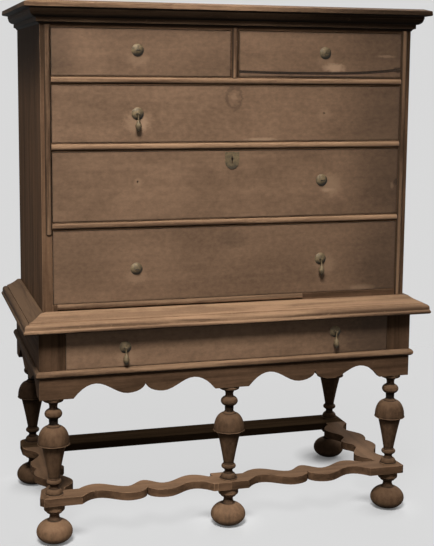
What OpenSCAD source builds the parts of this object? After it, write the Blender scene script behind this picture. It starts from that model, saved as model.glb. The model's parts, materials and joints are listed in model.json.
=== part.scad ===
/* [Upper case] */
// Width across the two sides of the upper case
case_w = 914; // [800:1:1040]
// Depth of the upper case from its front edge to its back
case_d = 443; // [430:1:500]
// Thickness of the case sides
side_t = 24; // [20:1:28]
// Thickness of the case bottom, which shows as the lowest rail
base_h = 20.5; // [18:0.5:26]
// Height of the rail above the short drawers
crown_h = 59; // [57:0.5:68]
// Thickness of the rail above the short drawers
crown_t = 22; // [16:1:30]
// Thickness of the top board
top_t = 22; // [16:1:26]
// Thickness of the backboards
back_t = 12; // [8:1:16]
// Number of backboards in the upper case
back_boards = 4; // [2:1:6]
// Height of the rails between the drawers
rail_h = 20; // [16:1:26]
// Depth of those rails from the front
rail_d = 60; // [45:1:90]
// Depth of the housings that hold the rails in the sides
housing = 8; // [4:1:12]
// Width of the drawer runners
runner_w = 24; // [18:1:40]
// Thickness of the partition between the short drawers
divider_t = 20; // [14:1:26]
// Distance of that partition from the middle
divider_x = 3.5; // [-20:0.5:20]

/* [Drawer openings] */
// Height of the short drawers' openings
short_h = 109; // [95:1:130]
// Height of the upper long drawer's opening
upper_h = 133; // [115:1:150]
// Height of the middle long drawer's opening
middle_h = 163; // [140:1:180]
// Height of the lower long drawer's opening
lower_h = 173; // [150:1:190]
// Height of the stand drawer's opening
stand_h = 95; // [80:1:110]

/* [Drawers] */
// Thickness of the drawer fronts
front_t = 22; // [19:1:26]
// Gap round each drawer front
gap = 1.5; // [1:0.1:2.5]
// Gap between a drawer and what it runs on
run_gap = 0.4; // [0.3:0.1:0.8]
// Thickness of the drawer sides and backs
wall_t = 10; // [8:0.5:14]
// Thickness of the drawer bottoms
floor_t = 8; // [6:0.5:10]
// Height of the drawer bottom above the lower edge of the sides
floor_up = 4; // [2:0.5:8]
// Gap between the drawers and the backboards
drawer_stop = 35; // [23:1:90]
// How far the drawer sides stop below the top of their opening
side_drop = 8; // [6:0.5:14]
// Length of the dovetails that lap into the drawer fronts
lap = 14; // [8:1:16]
// Width of a dovetail at its wide end
tail_w = 22; // [14:1:26]
// How much narrower a dovetail is at its root
tail_flare = 6; // [2:0.5:8]
// Distance between dovetails, before it is fitted to the drawer
tail_pitch = 38; // [32:1:60]
// Width of the drying crack in the right short drawer's front
crack_w = 1.2; // [0.8:0.1:2]
// Depth of that crack
crack_d = 2.5; // [1:0.5:6]
// Least height of the crack above the drawer's opening
crack_low = 10.4; // [6:0.1:20]
// Rise of the crack from there to its left end and to its right end
crack_rise = [2.6, 11]; // [0:0.1:20]

/* [Stand] */
// How far the stand stands out past each side of the upper case
stand_out = 13; // [8:0.5:20]
// How far the stand stands out in front of the upper case
stand_step = 20; // [12:0.5:26]
// Thickness of the stand's aprons and face boards
apron_t = 18; // [15:0.5:22]
// Width of the uprights beside the stand drawer
stile_w = 62; // [55:1:80]
// Height of the apron from its feet to the stand drawer
apron_h = 69.5; // [62:0.5:90]
// Height of the rail above the stand drawer
head_h = 37.2; // [30:0.1:50]
// Depth of the ledge that the upper case rests on
ledge_d = 62; // [40:1:90]
// Thickness of that ledge
ledge_t = 18; // [12:1:22]
// Gap between the stand and the upper case
seat_gap = 0.3; // [0.3:0.1:1]
// Width of the stand's drawer runners under the drawer
stand_runner_w = 12; // [8:1:20]
// Height of the guides beside the stand drawer
guide_h = 20; // [10:1:40]

/* [Apron outline] */
// Distance of each bay of the front apron from the middle
bay_inner = 43; // [38:0.5:60]
// Distance of those bays from the stand's sides
bay_outer = 80; // [70:0.5:95]
// Distance of the side aprons' bay from the front apron
side_bay_front = 32; // [28:0.5:50]
// Distance of that bay from the stand's back
side_bay_rear = 41; // [36:0.5:60]
// Rise of the point in the middle of a bay
notch_rise = 28.5; // [20:0.5:34]
// Rise of the two lobes beside that point
lobe_rise = 4.5; // [2:0.5:10]
// Rise of the arches
arch_rise = 33; // [24:0.5:38]
// Distance of a lobe from the point
lobe_run = 43; // [36:0.5:50]
// Distance of an arch from the end of its bay
arch_run = 53.5; // [45:0.5:62]

/* [Mouldings] */
// Width of the single-arch bead
bead_w = 15; // [12:0.5:16]
// How far the bead stands out
bead_out = 4.5; // [3:0.5:6]
// Height above the case bottom where the left stile's bead is broken off
left_break = 186; // [120:1:260]
// Distance of the lowest rail's bead from the left end of the opening
low_bead_start = 10; // [3:1:60]
// Length of that bead that is broken off at its right end
low_bead_break = 249; // [30:1:400]
// Radius of the half-round bead on the stand
roll_r = 8.5; // [6:0.5:9]
// Distance of the waist moulding's nose from the stand
waist_out = 39; // [34:0.5:44]
// Radius of that nose
nose_r = 5.2; // [4:0.1:5.5]
// Radius of the quarter round above it
ovolo_r = 8.5; // [7:0.5:9]
// Width of the waist moulding's sloping top
slope_w = 27; // [18:0.5:30]
// Hollow of that top
slope_sag = 1.6; // [0:0.1:3]
// Height of the waist moulding's underside above the stand drawer's opening
waist_reveal = 0.5; // [0:0.5:3]
// Height of the lip that holds the upper case
lip_h = 5.3; // [3:0.1:5.3]
// Gap between that lip and the case
lip_gap = 0.5; // [0.3:0.1:1.5]
// How far the cornice stands out
cornice_out = 39; // [34:0.5:44]
// Height of the cornice
cornice_h = 53; // [53:0.5:56]
// Rise of the cornice's sloping top
cornice_slope_h = 5; // [2:0.5:6]
// Width of that slope
cornice_slope_w = 16; // [8:0.5:18]
// How far the cornice's lower member stands out
cornice_base_out = 9.2; // [8.5:0.1:12]
// Radius of the quarter round under it
cornice_bead_r = 8.4; // [6:0.1:8.4]
// Radius of the cornice's cove
cove_r = 13; // [11:0.5:14]
// Radius of the cornice's nose
cornice_nose_r = 2.4; // [1.5:0.1:2.6]

/* [Legs] */
// Distance of the corner legs' axes inside the stand's sides
leg_side = 36; // [30:0.5:40]
// Distance of the front corner legs' axes behind the stand's front
leg_front = 27; // [25:0.5:32]
// Distance of the middle leg's axis behind the stand's front
middle_front = 25; // [23:0.5:32]
// Distance of the rear legs' axes in front of the stand's back
leg_rear = 28; // [25:0.5:40]
// Height of the legs from the stretchers to the apron
leg_h = 239; // [225:1:260]
// Radius of the turned pins at both ends of a leg
pin_r = 8.5; // [6:0.5:10]
// Clearance round a pin
pin_fit = 0.05; // [0.02:0.01:0.1]
// Length of the pin in its block
pin_up = 40; // [20:1:44]
// Length of the pin in its foot
pin_down = 20; // [12:1:21]
// Depth of a front leg block behind its leg's axis
block_front = 38; // [20:1:50]
// Depth of a rear leg block in front of its leg's axis
block_rear = 16; // [12:1:30]
// Radius of the collar under the apron
collar_r = 24.5; // [20:0.5:26]
// Radius of the small ball
ball_r = 21; // [17:0.1:23]
// Half the height of the small ball
ball_half = 14; // [11:0.5:15]
// Depth of the small ball's middle below the apron
ball_down = 40; // [38.5:0.5:43]
// Radius of the necks
neck_r = 9.8; // [8.5:0.1:11]
// Radius of the cup
cup_r = 37.6; // [33:0.1:42]
// How far the lip at the cup's rim flares out
cup_lip = 1.2; // [0:0.1:2]
// Depth of the cup's rim below the apron
cup_down = 114; // [111:0.5:118]
// Height of the cup's upright band and lip
cup_band = 4; // [3:0.5:7]
// Height of the cup's dome above that band
cup_dome = 39; // [34:0.5:40]
// Radius of the trumpet shaft under the cup
shaft_top_r = 29.5; // [24:0.5:32]
// Radius of the shaft at its foot
shaft_foot_r = 12.8; // [10:0.1:16]
// Height of the shaft's foot above the stretchers
shaft_up = 41; // [40:0.5:46]
// Radius of the ring below the shaft
ring_r = 18; // [15:0.5:20]
// Half the height of that ring
ring_half = 6; // [4:0.5:7]
// Height of the ring's middle above the stretchers
ring_up = 32.5; // [31.5:0.5:33.5]
// Radius of the cone that stands on the stretcher
cone_r = 22.5; // [18:0.5:26]
// Height of that cone
cone_h = 15.5; // [12:0.5:16]

/* [Feet] */
// Radius of the ball feet
foot_r = 43.6; // [38:0.1:46]
// Height of a foot from the floor to the stretchers
foot_h = 98.5; // [94:0.5:110]
// Height of the widest part of a foot
foot_mid = 26.5; // [24:0.5:28]
// Height of the ball above its widest part
foot_half = 31.5; // [28:0.5:33]
// Radius of the flat sole
foot_sole = 16; // [8:0.5:26]
// Radius of the disc at the top of a foot
disc_r = 25; // [20:0.5:27]
// Height of that disc
disc_h = 19; // [14:0.5:20]
// Radius of the neck between ball and disc
foot_neck_r = 11.5; // [9:0.5:14]
// Height of that neck
foot_neck_h = 14; // [12:0.5:16]

/* [Stretchers] */
// Thickness of the stretchers
stretcher_t = 20; // [15:0.5:24]
// How far the front stretcher's corners reach past the leg axes
corner_out = 31; // [26:0.5:34]
// How far the worn front left corner reaches past its leg's axis
worn_out = 39; // [26:0.5:44]
// How far the rear left corner reaches past its leg's axis
rear_left_out = 34; // [20:0.5:40]
// Distance of the front stretcher's bays from the middle
ribbon_inner = 45; // [40:0.5:60]
// Distance of those bays from the corner legs' axes
ribbon_outer = 63; // [54:0.5:80]
// Distance of the side stretchers' bay from the front legs' axes
ribbon_front = 38; // [34:0.5:60]
// Distance of that bay from the rear legs' axes
ribbon_rear = 70; // [62:0.5:90]
// Distance of the lobes from the points, in front and at the sides
ribbon_lobe = [45, 40]; // [34:1:52]
// Distance of the arches from the ends of their bays, in front and at the sides
ribbon_arch = [43, 45]; // [36:1:52]
// Front stretcher's outer edge past the leg axes at point, lobe and arch
front_edge = [5, 37, 2]; // [-5:1:45]
// Front stretcher's inner edge behind the leg axes at bump, waist and arch
front_inner = [40, 10, 45]; // [5:1:50]
// How far behind the leg axes the front stretcher is cut at its ends
front_tail = 23; // [20:1:30]
// Side stretchers' outer edge past the leg axes at point, lobe and arch
side_edge = [13, 29, -1]; // [-5:1:35]
// Side stretchers' outer edge past the leg axes at their rear ends
side_tail = 26; // [20:1:30]
// Side stretchers' inner edge behind the leg axes at bump, waist and arch
side_inner = [52, 30, 58]; // [25:1:62]
// Radius of the worn front left corner
worn_corner = 25; // [4:1:30]
// Radius of the front right corner
sharp_corner = 6; // [3:1:26]
// Length of the square shoulder at the middle leg
shoulder = 35; // [28:1:38]
// How far behind the middle leg's axis that shoulder reaches
shoulder_tail = 45; // [24:1:55]
// Width of the back stretcher
back_ribbon = 76; // [60:1:80]
// Distance of the back stretcher in front of the stand's back
back_inset = 4; // [0:1:12]
// Radius of the back stretcher's outer corners
back_corner = 24; // [4:1:30]

/* [Brasses] */
// Radius of the pull bosses
boss_r = 14.5; // [12:0.5:17]
// Height of the bosses
boss_h = 6; // [4:0.5:7]
// Radius of the shank through the drawer front
shank_r = 2; // [1.5:0.1:2.5]
// Radius of the wire that the drop hangs on
wire_r = 1.1; // [0.9:0.1:1.3]
// Distance of that wire from the drawer front
wire_out = 11; // [10.5:0.5:13]
// Radius of the drop's belly
drop_r = 8; // [6:0.5:8.5]
// Length of the drop below its wire
drop_len = 42; // [36:0.5:48]
// Pull of the left short drawer, from its opening's left end and lower edge
short_left_at = [201, 60]; // [50:1:210]
// Pull of the right short drawer, from its opening's right end and lower edge
short_right_at = [201, 59]; // [50:1:210]
// Left pull of the upper drawer
upper_left_at = [201, 67]; // [50:1:400]
// Lost right pull of the upper drawer
upper_right_at = [201, 67]; // [50:1:400]
// Lost left pull of the middle drawer
middle_left_at = [201, 91]; // [50:1:400]
// Right pull of the middle drawer
middle_right_at = [204, 87]; // [50:1:400]
// Left pull of the lower drawer
lower_left_at = [198, 78]; // [50:1:400]
// Right pull of the lower drawer
lower_right_at = [203, 85]; // [50:1:400]
// Left pull of the stand drawer
stand_left_at = [142, 48]; // [50:1:380]
// Right pull of the stand drawer
stand_right_at = [142, 56]; // [50:1:380]

/* [Lock] */
// Distance of the lock from the middle
lock_x = -1; // [-40:1:40]
// Width of the lock case
lock_w = 60; // [44:1:80]
// Height of the lock case
lock_h = 48; // [42:1:60]
// Thickness of the lock case
lock_t = 12; // [10:0.5:16]
// Width of the bolt
bolt_w = 20; // [12:1:28]
// Thickness of the bolt
bolt_t = 6; // [4:0.5:7]
// Height of the bolt
bolt_h = 30; // [24:1:36]
// Travel of the bolt
bolt_throw = 7; // [5:0.5:8]
// Clearance round the bolt
bolt_gap = 0.4; // [0.3:0.1:0.8]
// Thickness of the escutcheon
plate_t = 1.4; // [1:0.1:2]
// Width of the escutcheon
plate_w = 35; // [28:1:38]
// Height of the escutcheon above the keyhole's eye
plate_up = 16.5; // [12:0.5:16.5]
// Depth of the escutcheon below that eye
plate_down = 25.5; // [21:0.5:30]
// Height of the escutcheon's rounded foot
plate_round = 19; // [14:0.5:20]
// Depth of the two hollows in its upper edge
plate_hollow = 2; // [0:0.1:3]
// Depth of the keyhole's eye below the opening's upper edge
keyhole_down = 20; // [19:0.5:26]
// Radius of the keyhole's eye
keyhole_r = 2.4; // [1.8:0.1:3]
// Length of the keyhole's slot
keyhole_len = 11.5; // [7:0.5:12]

/* [Hidden] */
$fn = 64;
walnut = "#6a4a34";
dark_walnut = "#4a3325";
worn_walnut = "#7b5a41";
oak = "#8b6b4c";
brass_tone = "#a58a4a";
iron_tone = "#4b4a48";

fit = 0.1;
over = 1;
case_half = case_w / 2;
case_in = case_half - side_t;
back_in = case_d - back_t;
stand_half = case_half + stand_out;
stand_in = stand_half - apron_t;
open_half = stand_half - stile_w;
board_y = apron_t - stand_step;
stretcher_z = foot_h;
leg_z = stretcher_z + stretcher_t;
apron_z = leg_z + leg_h;
stand_open_z = apron_z + apron_h;
stand_head_z = stand_open_z + stand_h;
stand_top = stand_head_z + head_h;
case_z = stand_top + seat_gap;
lower_z = case_z + base_h;
middle_z = lower_z + lower_h + rail_h;
upper_z = middle_z + middle_h + rail_h;
short_z = upper_z + upper_h + rail_h;
crown_z = short_z + short_h;
case_top_z = crown_z + crown_h;
rail_zs = [lower_z + lower_h, middle_z + middle_h, upper_z + upper_h];
cornice_z = case_top_z - cornice_h;
drawer_len = back_in - drawer_stop;
divider_left = divider_x - divider_t / 2;
divider_right = divider_x + divider_t / 2;
leg_x = stand_half - leg_side;
front_leg_y = leg_front - stand_step;
middle_leg_y = middle_front - stand_step;
rear_leg_y = case_d - leg_rear;
block_half = stand_in - leg_x;
block_gap = 2;
block_top = stand_open_z - rail_h - block_gap;
back_ribbon_y = case_d - back_inset - back_ribbon;
keyhole_z = middle_z + middle_h - keyhole_down;
lock_top = middle_z + middle_h - gap;
bolt_from = front_t + (lock_t - bolt_t) / 2;
far = 60;
mid_y = (rear_leg_y + foot_r - stand_step - waist_out) / 2;

// Boxes are given by their limits along each axis, with y = 0 at the front edge of the upper case
module slab(x, y, z) {
    translate([x[0], y[0], z[0]]) cube([x[1] - x[0], y[1] - y[0], z[1] - z[0]]);
}

// Everything is drawn from the case front and moved so that the origin is under the middle
module placed() {
    translate([0, -mid_y, 0]) children();
}

// Extrudes an outline of y and z along x
module along_x(from, to) {
    translate([from, 0, 0]) rotate([90, 0, 90]) linear_extrude(to - from) children();
}

// Extrudes an outline of x and z along y
module along_y(from, to) {
    translate([0, to, 0]) rotate([90, 0, 0]) linear_extrude(to - from) children();
}

function arc(centre, r, from, to, steps = 6) =
    [for (i = [0 : steps]) let (a = from + (to - from) * i / steps) centre + r * [cos(a), sin(a)]];

function ellipse_arc(centre, rx, ry, from, to, steps = 8) =
    [for (i = [0 : steps]) let (a = from + (to - from) * i / steps) centre + [rx * cos(a), ry * sin(a)]];

// A smooth step from one value to another while t runs from 0 to 1
function eased(from, to, t) = from + (to - from) * (1 - cos(180 * t)) / 2;

// The end of a bay: an S-curve from a lobe up to an arch, then a curve down to the tail
function bay_tail(lobe, arch, tail, lobe_at, arch_at, tail_at) = concat(
    [for (i = [1 : 7]) [lobe_at + (arch_at - lobe_at) * i / 7, eased(lobe, arch, i / 7)]],
    [for (i = [1 : 5]) [arch_at + (tail_at - arch_at) * i / 5, arch + (tail - arch) * pow(i / 5, 2)]]);

// Half of a bay edge: a sharp point and a round lobe before that end
function half_bay(point, lobe, arch, tail, lobe_at, arch_at, tail_at) = concat(
    [for (a = [0 : 15 : 90]) [lobe_at * (1 - cos(a)), point + (lobe - point) * sin(a)]],
    bay_tail(lobe, arch, tail, lobe_at, arch_at, tail_at));

// Half of the inner edge behind it: a bump and a waist before that end
function half_inner(bump, waist, arch, tail, waist_at, arch_at, tail_at) = concat(
    [for (i = [0 : 5]) [waist_at * i / 5, eased(bump, waist, i / 5)]],
    bay_tail(waist, arch, tail, waist_at, arch_at, tail_at));

// Both halves of a bay round its middle, from the low end to the high end
function bay(middle, half) = concat(
    [for (i = [len(half) - 1 : -1 : 0]) [middle - half[i][0], half[i][1]]],
    [for (i = [1 : len(half) - 1]) [middle + half[i][0], half[i][1]]]);

function reversed(points) = [for (i = [len(points) - 1 : -1 : 0]) points[i]];

// An apron's bay from one place to the other
function apron_bay(from, to) = bay((from + to) / 2, half_bay(apron_z + notch_rise, apron_z + lobe_rise,
    apron_z + arch_rise, apron_z, lobe_run, (to - from) / 2 - arch_run, (to - from) / 2));

// Feet, legs and stretchers

module foot(x, y) {
    neck_z = foot_h - disc_h - foot_neck_h;
    hollow_r = 8.5;
    disc_round = 4;
    edge_round = 3;
    sole_angle = acos(foot_sole / foot_r);
    color(walnut) placed() translate([x, y, 0]) difference() {
        rotate_extrude() polygon(concat(
            [[0, 0]],
            ellipse_arc([0, foot_mid], foot_r, foot_mid / sin(sole_angle), -sole_angle, 0, 8),
            ellipse_arc([0, foot_mid], foot_r, foot_half, 8, 68, 8),
            [[foot_neck_r + 1, neck_z - 4]],
            arc([foot_neck_r + hollow_r, neck_z + 1], hollow_r, 180, 100, 5),
            arc([disc_r - disc_round, foot_h - disc_h + disc_round], disc_round, -90, 0, 4),
            arc([disc_r - edge_round, foot_h - edge_round], edge_round, 0, 90, 3),
            [[0, foot_h]]));
        translate([0, 0, foot_h - pin_down - over]) cylinder(r = pin_r + pin_fit, h = pin_down + 2 * over);
    }
}

module leg(x, y) {
    top = apron_z;
    cup_z = top - cup_down;
    dome_z = cup_z + cup_band;
    shaft_z = leg_z + shaft_up;
    rim = cup_r + cup_lip;
    foot_hollow = 5;
    foot_hollow_ends = [200, 150];
    top_hollow = 10.5;
    top_hollow_end = 105;
    collar_round = 3.5;
    neck_z = top - 2 * top_hollow;
    color(worn_walnut) placed() translate([x, y, 0]) rotate_extrude() polygon(concat(
        [[0, leg_z - stretcher_t - pin_down], [pin_r, leg_z - stretcher_t - pin_down], [pin_r, leg_z]],
        [[cone_r, leg_z], [cone_r, leg_z + 2], [cone_r - 3, leg_z + 4]],
        [[neck_r + 2, leg_z + cone_h]],
        arc([neck_r + foot_hollow, leg_z + cone_h + foot_hollow], foot_hollow, foot_hollow_ends[0],
            foot_hollow_ends[1], 4),
        arc([ring_r - ring_half, leg_z + ring_up], ring_half, -80, 80, 6),
        [[shaft_foot_r, shaft_z]],
        [for (i = [1 : 6]) [shaft_foot_r + (shaft_top_r - shaft_foot_r) * (0.8 * i / 6 + 0.2 * pow(i / 6, 2)),
            shaft_z + (cup_z - 1 - shaft_z) * i / 6]],
        [[rim - 0.6, cup_z], [rim, cup_z + 0.8], [cup_r, cup_z + 3]],
        ellipse_arc([neck_r + 5, dome_z], cup_r - neck_r - 5, cup_dome, 4, 86, 8),
        [[neck_r + 4, dome_z + cup_dome + 3], [neck_r + 0.7, dome_z + cup_dome + 6]],
        ellipse_arc([0, top - ball_down], ball_r, ball_half, -58, 58, 12),
        [[neck_r, neck_z - 4.5], [neck_r, neck_z]],
        arc([neck_r + top_hollow, neck_z], top_hollow, 180, top_hollow_end, 5),
        arc([collar_r - collar_round, top - 6], collar_round, -80, 0, 4),
        [[collar_r, top - 3], [collar_r - 2, top]],
        [[pin_r, top], [pin_r, top + pin_up], [0, top + pin_up]]));
}

module pin_bore(x, y) {
    translate([x, y, stretcher_z - over]) cylinder(r = pin_r + pin_fit, h = stretcher_t + 2 * over);
}

// Cuts a corner at the origin, between -x and +y, to a quarter of a circle
module rounded_corner(r) {
    translate([-r, r]) difference() {
        translate([0, -2 * r]) square(2 * r);
        circle(r = r);
    }
}

// The front stretcher's right half in plan from the middle leg, cut to a mitre at the corner leg
module front_ribbon(from, out, corner_r) {
    reach = leg_x + out;
    middle = (ribbon_inner + leg_x - ribbon_outer) / 2;
    half = (leg_x - ribbon_outer - ribbon_inner) / 2;
    outer = bay(middle, half_bay(front_edge[0], front_edge[1], front_edge[2], corner_out, ribbon_lobe[0],
        half - ribbon_arch[0], half));
    inner = bay(middle, half_inner(front_inner[0], front_inner[1], front_inner[2], front_tail, ribbon_lobe[0],
        half - ribbon_arch[0], half));
    intersection() {
        translate([0, front_leg_y]) difference() {
            polygon(concat([[from, -corner_out]], [for (p = outer) [p[0], -p[1]]], [[reach, -corner_out]],
                [[reach, front_tail]], reversed(inner), [[from, front_tail]]));
            translate([reach, -corner_out]) rounded_corner(corner_r);
        }
        translate([leg_x, front_leg_y]) polygon([[from - leg_x, -far], [far - fit, -far], [-far - fit, far],
            [from - leg_x, far]]);
    }
}

// A side stretcher in plan, mitred in front and square against the back stretcher. Its outer corners reach
// past the leg axes by front_out and rear_out
module side_ribbon(front_out, rear_out, corner_r) {
    last_y = back_ribbon_y - fit;
    front_y = front_leg_y - corner_out;
    middle = (front_leg_y + ribbon_front + rear_leg_y - ribbon_rear) / 2;
    half = (rear_leg_y - ribbon_rear - front_leg_y - ribbon_front) / 2;
    outer = bay(middle, half_bay(side_edge[0], side_edge[1], side_edge[2], side_tail, ribbon_lobe[1],
        half - ribbon_arch[1], half));
    inner = bay(middle, half_inner(side_inner[0], side_inner[1], side_inner[2], corner_out, ribbon_lobe[1],
        half - ribbon_arch[1], half));
    intersection() {
        difference() {
            polygon(concat([[leg_x + front_out, front_y]], [for (p = outer) [leg_x + p[1], p[0]]],
                [[leg_x + rear_out, last_y], [leg_x - corner_out, last_y]],
                [for (p = reversed(inner)) [leg_x - p[1], p[0]]], [[leg_x - corner_out, front_y]]));
            translate([leg_x + front_out, front_y]) rounded_corner(corner_r);
        }
        translate([leg_x, front_leg_y]) polygon([[far + fit, -far], [far + fit, last_y], [-far + fit, last_y],
            [-far + fit, far]]);
    }
}

module stretcher_front_left() {
    color(walnut) placed() difference() {
        translate([0, 0, stretcher_z]) linear_extrude(stretcher_t) {
            mirror([1, 0]) front_ribbon(fit, worn_out, worn_corner);
            translate([-shoulder, middle_leg_y - corner_out])
                square([shoulder - fit, corner_out + shoulder_tail]);
        }
        pin_bore(-leg_x, front_leg_y);
        pin_bore(0, middle_leg_y);
    }
}

module stretcher_front_right() {
    color(walnut) placed() difference() {
        translate([0, 0, stretcher_z]) linear_extrude(stretcher_t)
            front_ribbon(0, corner_out, sharp_corner);
        pin_bore(leg_x, front_leg_y);
        pin_bore(0, middle_leg_y);
    }
}

module stretcher_left() {
    color(walnut) placed() difference() {
        translate([0, 0, stretcher_z]) linear_extrude(stretcher_t) mirror([1, 0])
            side_ribbon(worn_out, rear_left_out, worn_corner);
        pin_bore(-leg_x, front_leg_y);
    }
}

module stretcher_right() {
    color(walnut) placed() difference() {
        translate([0, 0, stretcher_z]) linear_extrude(stretcher_t)
            side_ribbon(corner_out, side_tail, sharp_corner);
        pin_bore(leg_x, front_leg_y);
    }
}

module stretcher_back() {
    left = -leg_x - rear_left_out;
    right = leg_x + side_tail;
    color(dark_walnut) placed() difference() {
        translate([0, 0, stretcher_z]) linear_extrude(stretcher_t) difference() {
            translate([left, back_ribbon_y]) square([right - left, back_ribbon]);
            translate([left, back_ribbon_y + back_ribbon]) rotate(180) rounded_corner(back_corner);
            translate([right, back_ribbon_y + back_ribbon]) mirror([0, 1]) rounded_corner(back_corner);
        }
        pin_bore(-leg_x, rear_leg_y);
        pin_bore(leg_x, rear_leg_y);
    }
}

// Stand

module apron_front() {
    bay_end = stand_half - bay_outer;
    outline = concat([[-stand_half, apron_z]], apron_bay(-bay_end, -bay_inner), apron_bay(bay_inner, bay_end),
        [[stand_half, apron_z], [stand_half, stand_open_z], [-stand_half, stand_open_z]]);
    color(walnut) placed() difference() {
        along_y(-stand_step, board_y) polygon(outline);
        for (x = [-leg_x, 0, leg_x])
            slab([x - block_half - fit, x + block_half + fit], [board_y - housing, board_y + over],
                [apron_z - over, block_top + fit]);
    }
}

module side_apron() {
    along_x(stand_in, stand_half) polygon(concat([[board_y, apron_z]],
        apron_bay(board_y + side_bay_front, case_d - side_bay_rear),
        [[case_d, apron_z], [case_d, stand_top], [board_y, stand_top]]));
}

module stand_side_left() {
    color(walnut) placed() mirror([1, 0, 0]) side_apron();
}

module stand_side_right() {
    color(walnut) placed() side_apron();
}

module stand_back() {
    color(dark_walnut) placed() slab([-stand_in, stand_in], [back_in, case_d], [apron_z, stand_top]);
}

module stand_front_frame() {
    color(walnut) placed() {
        along_x(-stand_half, stand_half) polygon([[-stand_step, stand_head_z], [board_y, stand_head_z],
            [board_y, stand_top - ledge_t], [board_y, stand_top], [-stand_step, stand_top]]);
        slab([-stand_in, stand_in], [board_y + fit, board_y + ledge_d], [stand_top - ledge_t, stand_top]);
        for (x = [-stand_half, open_half])
            slab([x, x + stile_w], [-stand_step, board_y], [stand_open_z + fit, stand_head_z - fit]);
    }
}

module leg_block(x, y, depth) {
    difference() {
        slab([x - block_half, x + block_half], y, [apron_z, block_top]);
        translate([x, depth, apron_z - over]) cylinder(r = pin_r + pin_fit, h = pin_up + 2 * over);
    }
}

module leg_blocks() {
    front = [board_y - housing + fit, front_leg_y + block_front];
    back = [rear_leg_y - block_rear, back_in];
    color(oak) placed() {
        leg_block(-leg_x, front, front_leg_y);
        leg_block(0, front, middle_leg_y);
        leg_block(leg_x, front, front_leg_y);
        leg_block(-leg_x, back, rear_leg_y);
        leg_block(leg_x, back, rear_leg_y);
    }
}

module stand_runner() {
    along_y(board_y, back_in) polygon([[open_half - stand_runner_w, stand_open_z - rail_h],
        [stand_in, stand_open_z - rail_h], [stand_in, stand_open_z + guide_h],
        [open_half, stand_open_z + guide_h], [open_half, stand_open_z],
        [open_half - stand_runner_w, stand_open_z]]);
}

module stand_runners() {
    color(oak) placed() for (m = [0, 1]) mirror([m, 0, 0]) stand_runner();
}

// Mouldings: an outline of outward distance and height runs along the front and both sides, mitred

module mitred_run(half, front) {
    intersection() {
        translate([half + far, front, 0]) rotate([90, 0, -90]) linear_extrude(2 * (half + far)) children(0);
        linear_extrude(case_top_z + far)
            polygon([[-half - far + fit, front - far], [half + far - fit, front - far],
                [half - far - fit, front + far], [-half + far + fit, front + far]]);
    }
    for (m = [0, 1]) mirror([m, 0, 0]) intersection() {
        translate([half, case_d, 0]) rotate([90, 0, 0]) linear_extrude(case_d - front + far)
            children($children - 1);
        linear_extrude(case_top_z + far) polygon([[half + far, front - far], [half - far, front + far],
            [half - far, case_d + far], [half + far, case_d + far]]);
    }
}

module waist_outline(inside) {
    nose_step = 3;
    face_h = 5;
    groove_w = 5.5;
    groove_d = 3;
    lip_z = stand_top + lip_h;
    under = stand_head_z + waist_reveal;
    face = waist_out - nose_step;
    face_z = under + 2 * nose_r;
    slope = face - ovolo_r - groove_w;
    slope_z = face_z + face_h + ovolo_r + groove_d;
    polygon(concat([[0, under]],
        arc([waist_out - nose_r, under + nose_r], nose_r, -90, 50, 7),
        [[face, face_z], [face, face_z + face_h + 1]],
        arc([face - ovolo_r, face_z + face_h], ovolo_r, 8, 82, 5),
        [[slope + 2, slope_z - groove_d], [slope + 1.5, slope_z]],
        [for (i = [0 : 6]) [slope - slope_w * i / 6,
            slope_z + (lip_z - slope_z) * i / 6 - slope_sag * sin(30 * i)]],
        [[-inside, lip_z], [-inside, stand_top], [0, stand_top]]));
}

module waist_moulding() {
    color(worn_walnut) placed() mitred_run(stand_half, -stand_step) {
        waist_outline(stand_step - lip_gap);
        waist_outline(stand_out - lip_gap);
    }
}

module stand_bead() {
    reveal = 0.5;
    color(worn_walnut) placed() mitred_run(stand_half, -stand_step)
        translate([0, stand_open_z - roll_r - reveal]) intersection() {
            circle(r = roll_r);
            translate([0, -roll_r]) square([roll_r, 2 * roll_r]);
        }
}

module cornice() {
    bead_from = 162;
    band_h = 9.6;
    cove_in = 16;
    fillet_h = 6;
    nose_up = 10.6;
    base_z = cornice_z + cornice_bead_r * (1 - sin(bead_from));
    cove_z = base_z + band_h + cove_r;
    cove_out = cornice_out - cove_in;
    color(worn_walnut) placed() mitred_run(case_half, 0) polygon(concat(
        [[0, cornice_z]],
        arc([cornice_base_out, base_z - cornice_bead_r], cornice_bead_r, bead_from, 90, 4),
        [[cornice_base_out, cove_z - cove_r]],
        arc([cove_out - cove_r, cove_z], cove_r, -90, 0, 7),
        [[cove_out + 1, cove_z], [cove_out + 1, cove_z + fillet_h]],
        arc([cornice_out - cornice_nose_r, cove_z + nose_up], cornice_nose_r, -80, 0, 3),
        [[cornice_out - 1, case_top_z - cornice_slope_h],
            [cornice_out - 1 - cornice_slope_w, case_top_z], [0, case_top_z]]));
}

bead_round = (bead_w * bead_w / 4 + bead_out * bead_out) / (2 * bead_out);

// The bead's section, with its back on the y axis
module bead_section() {
    intersection() {
        translate([bead_round - bead_out, 0]) circle(r = bead_round);
        translate([-bead_out, -bead_w / 2]) square([bead_out, bead_w]);
    }
}

module rail_bead(from, to, z) {
    translate([0, 0, z]) along_x(from, to) bead_section();
}

module upright_bead(x, from, to) {
    translate([x, 0, from]) linear_extrude(to - from) rotate(90) bead_section();
}

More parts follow.
